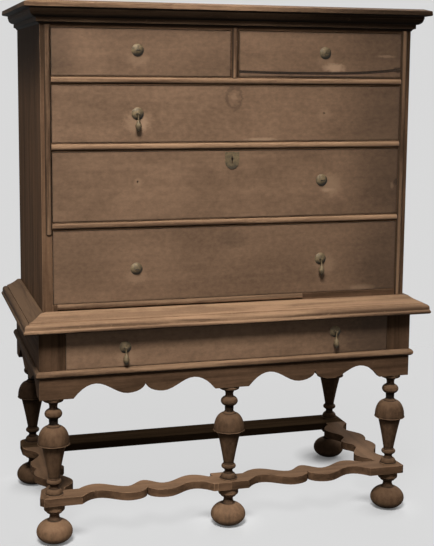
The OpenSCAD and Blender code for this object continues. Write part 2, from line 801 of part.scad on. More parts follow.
module bead_moulding() {
    edge = case_in - fit;
    color(worn_walnut) placed() {
        upright_bead(-case_in - bead_w / 2, case_z + left_break, cornice_z);
        upright_bead(case_in + bead_w / 2, lower_z - bead_w, cornice_z);
        upright_bead(divider_x, short_z - rail_h / 2 + bead_w / 2 + fit, cornice_z);
        for (z = rail_zs) rail_bead(-edge, edge, z + rail_h / 2);
        rail_bead(low_bead_start - case_in, case_in - low_bead_break, lower_z - bead_w / 2);
    }
}

// Upper case

module case_side() {
    difference() {
        slab([case_in, case_half], [0, case_d], [case_z, case_top_z]);
        slab([case_in - over, case_in + back_t], [back_in, case_d + over],
            [case_z - over, case_top_z + over]);
        for (z = rail_zs) slab([case_in - over, case_in + housing], [-over, rail_d], [z, z + rail_h]);
    }
}

module case_side_left() {
    color(walnut) placed() mirror([1, 0, 0]) case_side();
}

module case_side_right() {
    color(walnut) placed() case_side();
}

module case_top() {
    color(walnut) placed() slab([-case_in, case_in], [0, back_in], [case_top_z - top_t, case_top_z]);
}

module case_bottom() {
    color(walnut) placed() slab([-case_in, case_in], [0, back_in], [case_z, lower_z]);
}

module case_back() {
    board = 2 * (case_in + back_t) / back_boards;
    color(oak) placed() for (i = [0 : back_boards - 1])
        translate([-case_in - back_t + board * i, 0, 0])
            slab([fit, board - fit], [back_in, case_d], [case_z, case_top_z]);
}

module drawer_rails() {
    end = case_in + housing - fit;
    mortise = bolt_w / 2 + bolt_gap;
    color(walnut) placed() {
        difference() {
            for (z = rail_zs) slab([-end, end], [0, rail_d], [z, z + rail_h]);
            slab([lock_x - mortise, lock_x + mortise], [bolt_from - bolt_gap, bolt_from + bolt_t + bolt_gap],
                [middle_z + middle_h - over, middle_z + middle_h + bolt_throw + over]);
        }
        slab([-case_in, case_in], [0, crown_t], [crown_z, case_top_z - top_t]);
    }
}

module top_divider() {
    under_top = case_top_z - top_t;
    color(walnut) placed() along_x(divider_left, divider_right)
        polygon([[0, short_z], [back_in, short_z], [back_in, under_top], [crown_t, under_top],
            [crown_t, crown_z], [0, crown_z]]);
}

module drawer_runners() {
    color(oak) placed() {
        for (z = rail_zs, x = [-case_in, case_in - runner_w])
            slab([x, x + runner_w], [rail_d, back_in], [z, z + rail_h]);
        slab([divider_left - runner_w, divider_right + runner_w], [rail_d, back_in],
            [short_z - rail_h, short_z]);
    }
}

// Drawers: each fills an opening from x[0] to x[1], with its lower edge at z and its height h

module tails(x, z, h, clear) {
    low = z + run_gap;
    high = z + h - side_drop;
    count = max(2, round((high - low) / tail_pitch));
    pitch = (high - low) / count;
    tip = tail_w / 2 + clear;
    root = tip - tail_flare / 2;
    for (i = [0 : count - 1]) translate([0, 0, low + pitch * (i + 0.5)])
        along_x(x[0] - clear, x[1] + clear)
            polygon([[front_t, -root], [front_t - lap - clear, -tip], [front_t - lap - clear, tip],
                [front_t, root]]);
}

function left_wall(x) = [x[0] + gap, x[0] + gap + wall_t];
function right_wall(x) = [x[1] - gap - wall_t, x[1] - gap];

module drawer_front(x, z, h) {
    difference() {
        slab([x[0] + gap, x[1] - gap], [0, front_t], [z + gap, z + h - gap]);
        tails(left_wall(x), z, h, fit);
        tails(right_wall(x), z, h, fit);
        children();
    }
}

module drawer_box(x, z, h) {
    inside = [x[0] + gap + wall_t + fit, x[1] - gap - wall_t - fit];
    floor_z = z + run_gap + floor_up;
    for (wall = [left_wall(x), right_wall(x)]) {
        slab(wall, [front_t, drawer_len], [z + run_gap, z + h - side_drop]);
        tails(wall, z, h, 0);
    }
    slab(inside, [front_t, drawer_len], [floor_z, floor_z + floor_t]);
    slab(inside, [drawer_len - wall_t, drawer_len], [floor_z + floor_t + fit, z + h - side_drop]);
}

left_open = [-case_in, divider_left];
right_open = [divider_right, case_in];
long_open = [-case_in, case_in];
stand_open = [-open_half, open_half];

pull_short_left = [left_open[0] + short_left_at[0], short_z + short_left_at[1]];
pull_short_right = [right_open[1] - short_right_at[0], short_z + short_right_at[1]];
pull_upper_left = [long_open[0] + upper_left_at[0], upper_z + upper_left_at[1]];
pull_upper_right = [long_open[1] - upper_right_at[0], upper_z + upper_right_at[1]];
pull_middle_left = [long_open[0] + middle_left_at[0], middle_z + middle_left_at[1]];
pull_middle_right = [long_open[1] - middle_right_at[0], middle_z + middle_right_at[1]];
pull_lower_left = [long_open[0] + lower_left_at[0], lower_z + lower_left_at[1]];
pull_lower_right = [long_open[1] - lower_right_at[0], lower_z + lower_right_at[1]];
pull_stand_left = [stand_open[0] + stand_left_at[0], stand_open_z + stand_left_at[1]];
pull_stand_right = [stand_open[1] - stand_right_at[0], stand_open_z + stand_right_at[1]];

// A hole for a pull's shank, whose place is given across and up
module pull_hole(place) {
    translate([place[0], -over, place[1]]) rotate([-90, 0, 0])
        cylinder(r = shank_r + pin_fit, h = front_t + 2 * over);
}

module short_left_front() {
    color(walnut) placed() drawer_front(left_open, short_z, short_h) pull_hole(pull_short_left);
}

module short_left_box() {
    color(oak) placed() drawer_box(left_open, short_z, short_h);
}

// A drying crack runs across this front: it sinks slowly and then hooks upwards at its right end
module crack() {
    lowest = 0.4;
    length = right_open[1] - 2 - right_open[0];
    path = [for (i = [0 : 12]) let (s = i / 12, left = max(0, 1 - s / lowest),
        right = max(0, (s - lowest) / (1 - lowest)))
        [right_open[0] + length * s,
            crack_low + crack_rise[0] * pow(left, 2) + crack_rise[1] * pow(right, 3)]];
    half = [0, crack_w / 2];
    translate([0, 0, short_z]) along_y(-over, crack_d)
        polygon(concat([for (p = path) p - half], [for (p = reversed(path)) p + half]));
}

module short_right_front() {
    color(walnut) placed() drawer_front(right_open, short_z, short_h) {
        pull_hole(pull_short_right);
        crack();
    }
}

module short_right_box() {
    color(oak) placed() drawer_box(right_open, short_z, short_h);
}

module upper_front() {
    color(walnut) placed() drawer_front(long_open, upper_z, upper_h) {
        pull_hole(pull_upper_left);
        pull_hole(pull_upper_right);
    }
}

module upper_box() {
    color(oak) placed() drawer_box(long_open, upper_z, upper_h);
}

module keyhole(depth) {
    translate([lock_x, 0, keyhole_z]) along_y(-depth, front_t + over) {
        circle(r = keyhole_r);
        translate([-keyhole_r / 2, -keyhole_len]) square([keyhole_r, keyhole_len]);
    }
}

module middle_front() {
    color(walnut) placed() drawer_front(long_open, middle_z, middle_h) {
        pull_hole(pull_middle_left);
        pull_hole(pull_middle_right);
        keyhole(over);
    }
}

module middle_box() {
    color(oak) placed() drawer_box(long_open, middle_z, middle_h);
}

module lower_front() {
    color(walnut) placed() drawer_front(long_open, lower_z, lower_h) {
        pull_hole(pull_lower_left);
        pull_hole(pull_lower_right);
    }
}

module lower_box() {
    color(oak) placed() drawer_box(long_open, lower_z, lower_h);
}

module stand_drawer_front() {
    color(walnut) placed() translate([0, -stand_step, 0]) drawer_front(stand_open, stand_open_z, stand_h) {
        pull_hole(pull_stand_left);
        pull_hole(pull_stand_right);
    }
}

module stand_drawer_box() {
    color(oak) placed() translate([0, -stand_step, 0]) drawer_box(stand_open, stand_open_z, stand_h);
}

// Brasses: a domed boss on a shank, with a wire staple for the drop

staple_half = 3.8;
drop_half = staple_half - wire_r - 0.3;

module boss(place) {
    rim = 1.2;
    dome = (boss_r * boss_r + (boss_h - rim) * (boss_h - rim)) / (2 * (boss_h - rim));
    half_angle = asin(boss_r / dome);
    translate([place[0], 0, place[1]]) {
        rotate([90, 0, 0]) rotate_extrude() polygon(concat(
            [[0, -front_t - 1], [shank_r, -front_t - 1], [shank_r, 0], [boss_r, 0]],
            arc([0, boss_h - dome], dome, 90 - half_angle, 90, 8)));
        for (x = [-staple_half, staple_half])
            translate([x, -boss_h + 2, 0]) rotate([90, 0, 0]) cylinder(r = wire_r, h = wire_out - boss_h + 2);
        translate([-staple_half - wire_r, -wire_out, 0]) rotate([0, 90, 0])
            cylinder(r = wire_r, h = 2 * (staple_half + wire_r));
    }
}

module drop(place) {
    stem = 1.6;
    neck = 12.5;
    translate([place[0], -wire_out, place[1]]) difference() {
        union() {
            translate([-drop_half, 0, 0]) rotate([0, 90, 0]) cylinder(r = wire_r + 1.5, h = 2 * drop_half);
            rotate_extrude() polygon(concat(
                [[0, -drop_len], [stem - 0.4, -drop_len + 0.6], [stem, -drop_len + 2]],
                [for (i = [0 : 9]) let (s = i / 9)
                    [stem + (drop_r - stem) * pow(sin(20 + 160 * s), 1.3) * (1 - 0.25 * s),
                    -drop_len + 2.5 + (drop_len - 2.5 - neck) * s]],
                [[stem + 0.4, 1.5 - neck], [stem, -neck / 2], [stem, -1], [0, -1]]));
        }
        translate([-drop_half - over, 0, 0]) rotate([0, 90, 0])
            cylinder(r = wire_r + pin_fit, h = 2 * (drop_half + over));
    }
}

module short_left_brass() {
    color(brass_tone) placed() boss(pull_short_left);
}

module short_right_brass() {
    color(brass_tone) placed() boss(pull_short_right);
}

module upper_brass() {
    color(brass_tone) placed() boss(pull_upper_left);
}

// A flat shield with a rounded foot and two hollows in its upper edge
module escutcheon() {
    half = plate_w / 2;
    difference() {
        translate([lock_x, 0, keyhole_z]) along_y(-plate_t, 0) polygon(concat(
            ellipse_arc([0, plate_round - plate_down], half, plate_round, 180, 360, 16),
            [for (i = [0 : 12]) [half - plate_w * i / 12, plate_up - plate_hollow * (1 - cos(60 * i)) / 2]]));
        keyhole(plate_t + over);
    }
}

module middle_brass() {
    color(brass_tone) placed() {
        boss(pull_middle_right);
        escutcheon();
    }
}

module lower_brass() {
    color(brass_tone) placed() for (place = [pull_lower_left, pull_lower_right]) boss(place);
}

module stand_brass() {
    color(brass_tone) placed() translate([0, -stand_step, 0])
        for (place = [pull_stand_left, pull_stand_right]) boss(place);
}

module upper_left_drop() {
    color(brass_tone) placed() drop(pull_upper_left);
}

module lower_right_drop() {
    color(brass_tone) placed() drop(pull_lower_right);
}

module stand_left_drop() {
    color(brass_tone) placed() translate([0, -stand_step, 0]) drop(pull_stand_left);
}

module stand_right_drop() {
    color(brass_tone) placed() translate([0, -stand_step, 0]) drop(pull_stand_right);
}

// Lock behind the middle drawer's front, with a bolt that rises into the rail above

module lock_case() {
    slot = bolt_w / 2 + bolt_gap;
    color(iron_tone) placed() difference() {
        slab([lock_x - lock_w / 2, lock_x + lock_w / 2], [front_t, front_t + lock_t],
            [lock_top - lock_h, lock_top]);
        slab([lock_x - slot, lock_x + slot], [bolt_from - bolt_gap, bolt_from + bolt_t + bolt_gap],
            [lock_top - bolt_h - bolt_gap, lock_top + over]);
    }
}

module lock_bolt() {
    color(iron_tone) placed() slab([lock_x - bolt_w / 2, lock_x + bolt_w / 2],
        [bolt_from, bolt_from + bolt_t], [lock_top - bolt_h, lock_top]);
}

foot(-leg_x, front_leg_y);  // foot_front_left
foot(0, middle_leg_y);  // foot_front_middle
foot(leg_x, front_leg_y);  // foot_front_right
foot(-leg_x, rear_leg_y);  // foot_rear_left
foot(leg_x, rear_leg_y);  // foot_rear_right
leg(-leg_x, front_leg_y);  // leg_front_left
leg(0, middle_leg_y);  // leg_front_middle
leg(leg_x, front_leg_y);  // leg_front_right
leg(-leg_x, rear_leg_y);  // leg_rear_left
leg(leg_x, rear_leg_y);  // leg_rear_right
stretcher_front_left();
stretcher_front_right();
stretcher_left();
stretcher_right();
stretcher_back();
apron_front();
stand_side_left();
stand_side_right();
stand_back();
stand_front_frame();
leg_blocks();
stand_runners();
waist_moulding();
stand_bead();
case_side_left();
case_side_right();
case_top();
case_bottom();
case_back();
drawer_rails();
top_divider();
drawer_runners();
cornice();
bead_moulding();
short_left_front();
short_left_box();
short_right_front();
short_right_box();
upper_front();
upper_box();
middle_front();
middle_box();
lower_front();
lower_box();
stand_drawer_front();
stand_drawer_box();
short_left_brass();
short_right_brass();
upper_brass();
middle_brass();
lower_brass();
stand_brass();
upper_left_drop();
lower_right_drop();
stand_left_drop();
stand_right_drop();
lock_case();
lock_bolt();
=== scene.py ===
import json
import math
import random

import bmesh
import bpy
from mathutils import Matrix, Vector

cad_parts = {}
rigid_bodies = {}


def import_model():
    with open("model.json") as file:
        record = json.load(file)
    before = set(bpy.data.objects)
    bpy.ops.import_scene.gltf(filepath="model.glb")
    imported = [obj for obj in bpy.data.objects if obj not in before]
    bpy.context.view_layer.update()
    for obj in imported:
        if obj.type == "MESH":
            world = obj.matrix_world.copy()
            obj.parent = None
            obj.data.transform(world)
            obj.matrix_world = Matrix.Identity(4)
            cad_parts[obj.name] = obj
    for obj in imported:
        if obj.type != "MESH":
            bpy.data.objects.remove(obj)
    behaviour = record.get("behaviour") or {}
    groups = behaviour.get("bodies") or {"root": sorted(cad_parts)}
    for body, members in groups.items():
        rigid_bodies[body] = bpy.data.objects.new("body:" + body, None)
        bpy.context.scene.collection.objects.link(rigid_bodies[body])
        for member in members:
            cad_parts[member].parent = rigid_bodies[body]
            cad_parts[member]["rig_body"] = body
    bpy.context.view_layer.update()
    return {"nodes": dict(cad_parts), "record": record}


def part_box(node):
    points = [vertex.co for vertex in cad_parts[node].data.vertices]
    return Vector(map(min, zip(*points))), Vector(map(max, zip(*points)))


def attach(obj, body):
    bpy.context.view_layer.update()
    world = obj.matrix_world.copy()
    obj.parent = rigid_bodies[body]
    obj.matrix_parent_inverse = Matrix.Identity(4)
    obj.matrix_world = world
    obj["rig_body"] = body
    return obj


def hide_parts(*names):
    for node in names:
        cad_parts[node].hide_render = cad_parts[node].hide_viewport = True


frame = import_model()
bodyOf = {node: obj["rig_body"] for node, obj in frame["nodes"].items()}
slotOf = {part["node"]: part["material_slot"] for part in frame["record"]["subparts"]}
print("frame loaded:", len(bodyOf), "nodes")

# Camera, solved from the straight edges of the case in the 434 x 546 photograph
photo = {
    "width": 434,
    "height": 546,
    "eye": (-0.79595, -2.78017, 1.11995),
    "turn": (-0.136252, -0.008817, -0.283294),  # pitch, roll and yaw, in radians
    "focal": 1129.74,  # in pixels
    "centre": (213.98, 227.13),  # where the lens axis meets the picture
    "sensor": 36,  # in mm
    "sight": 40,  # how far the camera sees, in metres
}


def makeCamera():
    pitch, roll, yaw = photo["turn"]
    turn = Matrix.Rotation(yaw, 4, "Z") @ Matrix.Rotation(pitch, 4, "X") @ Matrix.Rotation(roll, 4, "Y")
    data = bpy.data.cameras.new("camera")
    data.sensor_fit = "AUTO"
    data.sensor_width = photo["sensor"]
    data.lens = photo["focal"] * data.sensor_width / photo["height"]
    data.shift_x = (photo["width"] / 2 - photo["centre"][0]) / photo["height"]
    data.shift_y = (photo["centre"][1] - photo["height"] / 2) / photo["height"]
    data.clip_end = photo["sight"]
    camera = bpy.data.objects.new("camera", data)
    camera.matrix_world = Matrix.Translation(photo["eye"]) @ turn @ Matrix.Rotation(math.pi / 2, 4, "X")
    bpy.context.scene.collection.objects.link(camera)
    bpy.context.scene.camera = camera


makeCamera()
bpy.context.scene.view_settings.view_transform = "Standard"
print("camera set")


# Shader helpers

def rgb(red, green, blue):
    return (red, green, blue, 1)


def grey(value):
    return rgb(value, value, value)


def addNode(tree, kind, **settings):
    node = tree.nodes.new(kind)
    for name, value in settings.items():
        setattr(node, name, value)
    return node


def mathNode(tree, operation, first, second=None, clamp=False):
    node = addNode(tree, "ShaderNodeMath", operation=operation, use_clamp=clamp)
    for socket, value in zip(node.inputs, (first, second)):
        if isinstance(value, bpy.types.NodeSocket):
            tree.links.new(value, socket)
        elif value is not None:
            socket.default_value = value
    return node.outputs[0]


# Goes from the first colour to the second as the factor goes from 0 to 1
def mixColour(tree, factor, first, second):
    node = addNode(tree, "ShaderNodeMix", data_type="RGBA")
    for socket, value in ((node.inputs[0], factor), (node.inputs[6], first), (node.inputs[7], second)):
        if isinstance(value, bpy.types.NodeSocket):
            tree.links.new(value, socket)
        else:
            socket.default_value = value
    return node.outputs[2]


def weightedSum(tree, first, firstShare, second, secondShare):
    return mathNode(tree, "ADD", mathNode(tree, "MULTIPLY", first, firstShare),
                    mathNode(tree, "MULTIPLY", second, secondShare))


# A soft step between low and high
def rangeNode(tree, value, low, high, newLow=0.0, newHigh=1.0):
    node = addNode(tree, "ShaderNodeMapRange", interpolation_type="SMOOTHSTEP")
    tree.links.new(value, node.inputs[0])
    for index, number in enumerate((low, high, newLow, newHigh)):
        node.inputs[index + 1].default_value = number
    return node.outputs[0]


def stretchedNoise(tree, vector, stretch, detail=3.0, roughness=0.55, distortion=0.0):
    mapping = addNode(tree, "ShaderNodeMapping")
    mapping.inputs["Scale"].default_value = stretch
    tree.links.new(vector, mapping.inputs["Vector"])
    noise = addNode(tree, "ShaderNodeTexNoise")
    noise.inputs["Scale"].default_value = 1.0
    noise.inputs["Detail"].default_value = detail
    noise.inputs["Roughness"].default_value = roughness
    noise.inputs["Distortion"].default_value = distortion
    tree.links.new(mapping.outputs[0], noise.inputs["Vector"])
    return noise.outputs["Fac"]


def newGroup(name, inputs, outputs):
    tree = bpy.data.node_groups.new(name, "ShaderNodeTree")
    for label, kind, value in inputs:
        socket = tree.interface.new_socket(label, in_out="INPUT", socket_type=kind)
        if value is not None:
            socket.default_value = value
    for label, kind in outputs:
        tree.interface.new_socket(label, in_out="OUTPUT", socket_type=kind)
    return tree, addNode(tree, "NodeGroupInput"), addNode(tree, "NodeGroupOutput")


# Noise in the wood: how often it repeats in a metre along x, y and z, with the grain along x
grainNoise = {
    "streaks": {"stretch": (3.0, 60.0, 60.0), "detail": 6.0, "roughness": 0.6, "distortion": 0.9},
    "bands": {"stretch": (1.1, 13.0, 13.0), "detail": 3.0, "roughness": 0.5, "distortion": 1.4},
    "clouds": {"stretch": (6.0, 10.0, 10.0), "detail": 4.0, "roughness": 0.55, "distortion": 0.4},
    "flecks": {"stretch": (75.0, 105.0, 105.0), "detail": 4.0, "roughness": 0.62},
    "pores": {"stretch": (90.0, 1500.0, 1500.0), "detail": 2.0, "roughness": 0.5},
}
grainMix = {
    "boardOffset": (3.7, 9.1, 5.3),  # how far a board's number shifts its grain
    "streaks": 0.55, "bands": 0.45,  # shares in the grain
    "contrast": (0.32, 0.68),
    "clouds": 0.5, "flecks": 0.5,  # shares in the mottle
    "poreRange": (0.60, 0.74), "poreDepth": 0.6, "poreColour": rgb(0.012, 0.008, 0.006),
    "rough": 0.28, "roughSpread": 0.3, "ridges": 0.35,
}


def agedWoodGroup():
    tree, source, sink = newGroup("agedWood", (
        ("Vector", "NodeSocketVector", None),
        ("Board", "NodeSocketFloat", 0.5),
        ("Dark", "NodeSocketColor", rgb(0.05, 0.03, 0.02)),
        ("Light", "NodeSocketColor", rgb(0.15, 0.09, 0.05)),
        ("Pores", "NodeSocketFloat", 0.5),
        ("Streaks", "NodeSocketFloat", 1.0),
        ("Mottle", "NodeSocketFloat", 0.5),
        ("Board Shift", "NodeSocketFloat", 0.25)),
        (("Color", "NodeSocketColor"), ("Roughness", "NodeSocketFloat"), ("Height", "NodeSocketFloat")))
    board = source.outputs["Board"]
    shift = addNode(tree, "ShaderNodeCombineXYZ")
    for socket, factor in zip(shift.inputs, grainMix["boardOffset"]):
        tree.links.new(mathNode(tree, "MULTIPLY", board, factor), socket)
    place = addNode(tree, "ShaderNodeVectorMath", operation="ADD")
    tree.links.new(source.outputs["Vector"], place.inputs[0])
    tree.links.new(shift.outputs[0], place.inputs[1])
    noise = {name: stretchedNoise(tree, place.outputs[0], **look) for name, look in grainNoise.items()}
    mottle = weightedSum(tree, noise["clouds"], grainMix["clouds"], noise["flecks"], grainMix["flecks"])
    poreMask = mathNode(tree, "MULTIPLY", rangeNode(tree, noise["pores"], *grainMix["poreRange"]),
                        source.outputs["Pores"])
    grain = weightedSum(tree, noise["streaks"], grainMix["streaks"], noise["bands"], grainMix["bands"])
    contrast = mathNode(tree, "SUBTRACT", rangeNode(tree, grain, *grainMix["contrast"]), 0.5)
    figure = mathNode(tree, "MULTIPLY", contrast, source.outputs["Streaks"])
    blotch = mathNode(tree, "MULTIPLY", mathNode(tree, "SUBTRACT", mottle, 0.5), source.outputs["Mottle"])
    amount = mathNode(tree, "ADD", mathNode(tree, "ADD", figure, 0.5), blotch, True)
    wood = mixColour(tree, amount, source.outputs["Dark"], source.outputs["Light"])
    tone = mathNode(tree, "MULTIPLY", mathNode(tree, "SUBTRACT", board, 0.5), source.outputs["Board Shift"])
    toned = addNode(tree, "ShaderNodeHueSaturation")
    tree.links.new(mathNode(tree, "ADD", tone, 1.0), toned.inputs["Value"])
    tree.links.new(wood, toned.inputs["Color"])
    pored = mixColour(tree, mathNode(tree, "MULTIPLY", poreMask, grainMix["poreDepth"]), toned.outputs[0],
                      grainMix["poreColour"])
    tree.links.new(pored, sink.inputs["Color"])
    rough = mathNode(tree, "ADD", mathNode(tree, "MULTIPLY", mottle, grainMix["roughSpread"]), grainMix["rough"])
    tree.links.new(rough, sink.inputs["Roughness"])
    ridges = mathNode(tree, "MULTIPLY", noise["streaks"], grainMix["ridges"])
    tree.links.new(mathNode(tree, "SUBTRACT", ridges, poreMask), sink.inputs["Height"])
    return tree


# Noise in the wear, in the same way
wearNoise = {
    "coarse": {"stretch": (14.0, 14.0, 14.0), "detail": 3.0},
    "fine": {"stretch": (160.0, 160.0, 160.0), "detail": 4.0, "roughness": 0.65},
    "scuffs": {"stretch": (26.0, 75.0, 55.0), "detail": 5.0, "roughness": 0.7, "distortion": 0.3},
}
wearMix = {
    "coarse": 0.6, "fine": 0.4,  # shares in the noise that breaks up the wear
    "edgeBreaks": (0.34, 0.62, 0.25, 1.0), "breaks": (0.3, 0.6, 0.6, 1.0),  # noise from, to, and the wear left there
    "scuffRange": (0.62, 0.76),
    "facingUp": (0.1, 0.8), "facingDown": (-0.2, -0.85),  # how upright the surface's normal is, from and to
}


# Rubbed edges go pale; hollows and undersides darken, partly with dirt and partly as painted shade, and the flanks of
# upright beads get painted shade: edges and hollows come from attributes painted on the mesh
def wearGroup():
    tree, source, sink = newGroup("rubbedAndDirty", (
        ("Vector", "NodeSocketVector", None),
        ("Color", "NodeSocketColor", rgb(0.1, 0.06, 0.04)),
        ("Edge", "NodeSocketFloat", 0.0),
        ("Hollow", "NodeSocketFloat", 0.0),
        ("Upward", "NodeSocketFloat", 0.0),
        ("Top Wear", "NodeSocketFloat", 0.3),
        ("Grime", "NodeSocketFloat", 0.5),
        ("Flank", "NodeSocketFloat", 0.0),
        ("Worn", "NodeSocketColor", rgb(0.3, 0.2, 0.13)),
        ("Dirt", "NodeSocketColor", rgb(0.012, 0.009, 0.007)),
        ("Scuffs", "NodeSocketFloat", 0.3)),
        (("Color", "NodeSocketColor"),))
    noise = {name: stretchedNoise(tree, source.outputs["Vector"], **look) for name, look in wearNoise.items()}
    breakUp = weightedSum(tree, noise["coarse"], wearMix["coarse"], noise["fine"], wearMix["fine"])
    breaks = rangeNode(tree, breakUp, *wearMix["breaks"])
    edge = mathNode(tree, "MULTIPLY", source.outputs["Edge"], rangeNode(tree, breakUp, *wearMix["edgeBreaks"]), True)
    scuffs = mathNode(tree, "MULTIPLY", rangeNode(tree, noise["scuffs"], *wearMix["scuffRange"]),
                      source.outputs["Scuffs"])
    upward = mathNode(tree, "MULTIPLY", rangeNode(tree, source.outputs["Upward"], *wearMix["facingUp"]),
                      source.outputs["Top Wear"])
    upward = mathNode(tree, "MULTIPLY", upward, breaks)
    worn = mathNode(tree, "MAXIMUM", mathNode(tree, "MAXIMUM", edge, scuffs), upward, True)
    rubbed = mixColour(tree, worn, source.outputs["Color"], source.outputs["Worn"])
    # Undersides darken as they face down: partly grime, partly painted shade where the light does not reach
    undersideGrimeAndShade = mathNode(tree, "MULTIPLY", rangeNode(tree, source.outputs["Upward"], *wearMix["facingDown"]),
                     source.outputs["Grime"])
    # Hollows darken: partly dirt, partly painted shade
    hollow = mathNode(tree, "MULTIPLY", source.outputs["Hollow"], breaks, True)
    dirty = mathNode(tree, "MAXIMUM", mathNode(tree, "MAXIMUM", hollow, undersideGrimeAndShade), source.outputs["Flank"], True)
    tree.links.new(mixColour(tree, dirty, rubbed, source.outputs["Dirt"]), sink.inputs["Color"])
    return tree


patchShape = {  # distances from the centre, where the patch's half size is 1
    "noise": {"stretch": (90.0, 90.0, 130.0), "detail": 4.0},
    "fade": (1.05, 0.35), "bandInside": (0.62, 0.88), "bandOutside": (1.2, 0.96),
}


# A soft patch round a centre: its middle fills the mask, its outline is a band near the rim
def patchGroup():
    tree, source, sink = newGroup("softPatch", (
        ("Vector", "NodeSocketVector", None),
        ("Centre", "NodeSocketVector", (0, 0, 0)),
        ("Size", "NodeSocketVector", (1, 1, 1)),
        ("Raggedness", "NodeSocketFloat", 0.5)),
        (("Mask", "NodeSocketFloat"), ("Outline", "NodeSocketFloat")))
    offset = addNode(tree, "ShaderNodeVectorMath", operation="SUBTRACT")
    tree.links.new(source.outputs["Vector"], offset.inputs[0])
    tree.links.new(source.outputs["Centre"], offset.inputs[1])
    scaled = addNode(tree, "ShaderNodeVectorMath", operation="DIVIDE")
    tree.links.new(offset.outputs[0], scaled.inputs[0])
    tree.links.new(source.outputs["Size"], scaled.inputs[1])
    length = addNode(tree, "ShaderNodeVectorMath", operation="LENGTH")
    tree.links.new(scaled.outputs[0], length.inputs[0])
    ragged = mathNode(tree, "SUBTRACT", stretchedNoise(tree, source.outputs["Vector"], **patchShape["noise"]), 0.5)
    reach = mathNode(tree, "ADD", length.outputs["Value"],
                     mathNode(tree, "MULTIPLY", ragged, source.outputs["Raggedness"]))
    tree.links.new(rangeNode(tree, reach, *patchShape["fade"]), sink.inputs["Mask"])
    band = mathNode(tree, "MULTIPLY", rangeNode(tree, reach, *patchShape["bandInside"]),
                    rangeNode(tree, reach, *patchShape["bandOutside"]))
    tree.links.new(band, sink.inputs["Outline"])
    return tree


groups = {"wood": agedWoodGroup(), "wear": wearGroup(), "patch": patchGroup()}
grainTurn = {  # turns the object's own axes so that x runs along the grain
    "X": (0, 0, 0),
    "Y": (0, 0, math.radians(-90)),
    "Z": (0, math.radians(90), 0),
}


def useGroup(tree, group, **values):
    node = addNode(tree, "ShaderNodeGroup", node_tree=group)
    for label, value in values.items():
        socket = node.inputs[label.replace("_", " ")]
        if isinstance(value, bpy.types.NodeSocket):
            tree.links.new(value, socket)
        else:
            socket.default_value = value
    return node


def readAttribute(tree, name):
    return addNode(tree, "ShaderNodeAttribute", attribute_name=name).outputs["Fac"]


def splitVector(tree, vector):
    parts = addNode(tree, "ShaderNodeSeparateXYZ")
    tree.links.new(vector, parts.inputs[0])
    return parts.outputs


def addBump(tree, shader, height, strength, distance):
    bump = addNode(tree, "ShaderNodeBump")
    bump.inputs["Strength"].default_value = strength
    bump.inputs["Distance"].default_value = distance
    tree.links.new(height, bump.inputs["Height"])
    tree.links.new(bump.outputs[0], shader.inputs["Normal"])


def newMaterial(name):
    material = bpy.data.materials.new(name)
    material.use_nodes = True
    tree = material.node_tree
    return material, tree, tree.nodes["Principled BSDF"]


# grime sets how dark undersides go, partly grime and partly painted shade; flank sets the painted shade on the flanks
# of upright beads
woodLooks = {
    "case_wood": {"dark": rgb(0.041, 0.023, 0.013), "light": rgb(0.114, 0.064, 0.036),
                  "worn": rgb(0.217, 0.129, 0.074), "pores": 0.5, "streaks": 1.0, "mottle": 1.2, "shift": 0.2,
                  "scuffs": 0.3, "topWear": 0.3, "grime": 0.9, "dull": 0.2, "coat": 0.0, "shine": 0.01},
    "drawer_front_wood": {"dark": rgb(0.105, 0.061, 0.035), "light": rgb(0.189, 0.112, 0.066),
                          "worn": rgb(0.262, 0.163, 0.098), "pores": 0.4, "streaks": 0.3, "mottle": 3.0, "shift": 0.08,
                          "scuffs": 0.16, "topWear": 0.3, "grime": 0.9, "dull": 0.05, "coat": 0.03, "shine": 0.16},
    "turned_wood": {"dark": rgb(0.046, 0.026, 0.015), "light": rgb(0.135, 0.077, 0.043),
                    "worn": rgb(0.211, 0.125, 0.072), "pores": 0.5, "streaks": 0.6, "mottle": 2.4, "shift": 0.1,
                    "scuffs": 0.6, "topWear": 0.35, "grime": 0.9, "dull": 0.15, "coat": 0.0, "shine": 0.015},
    "moulding_wood": {"dark": rgb(0.075, 0.043, 0.025), "light": rgb(0.192, 0.114, 0.066),
                      "worn": rgb(0.251, 0.154, 0.090), "pores": 0.5, "streaks": 2.1, "mottle": 1.2, "shift": 0.1,
                      "scuffs": 0.6, "topWear": 0.35, "grime": 0.97, "flank": 0.75, "dull": 0.15, "coat": 0.0,
                      "shine": 0.02},
    "inner_wood": {"dark": rgb(0.080, 0.046, 0.025), "light": rgb(0.199, 0.120, 0.064),
                   "worn": rgb(0.285, 0.182, 0.105), "pores": 0.7, "streaks": 0.9, "mottle": 0.9, "shift": 0.3,
                   "scuffs": 0.2, "topWear": 0.2, "grime": 0.4, "dull": 0.3, "coat": 0.0, "shine": 0.06},
}
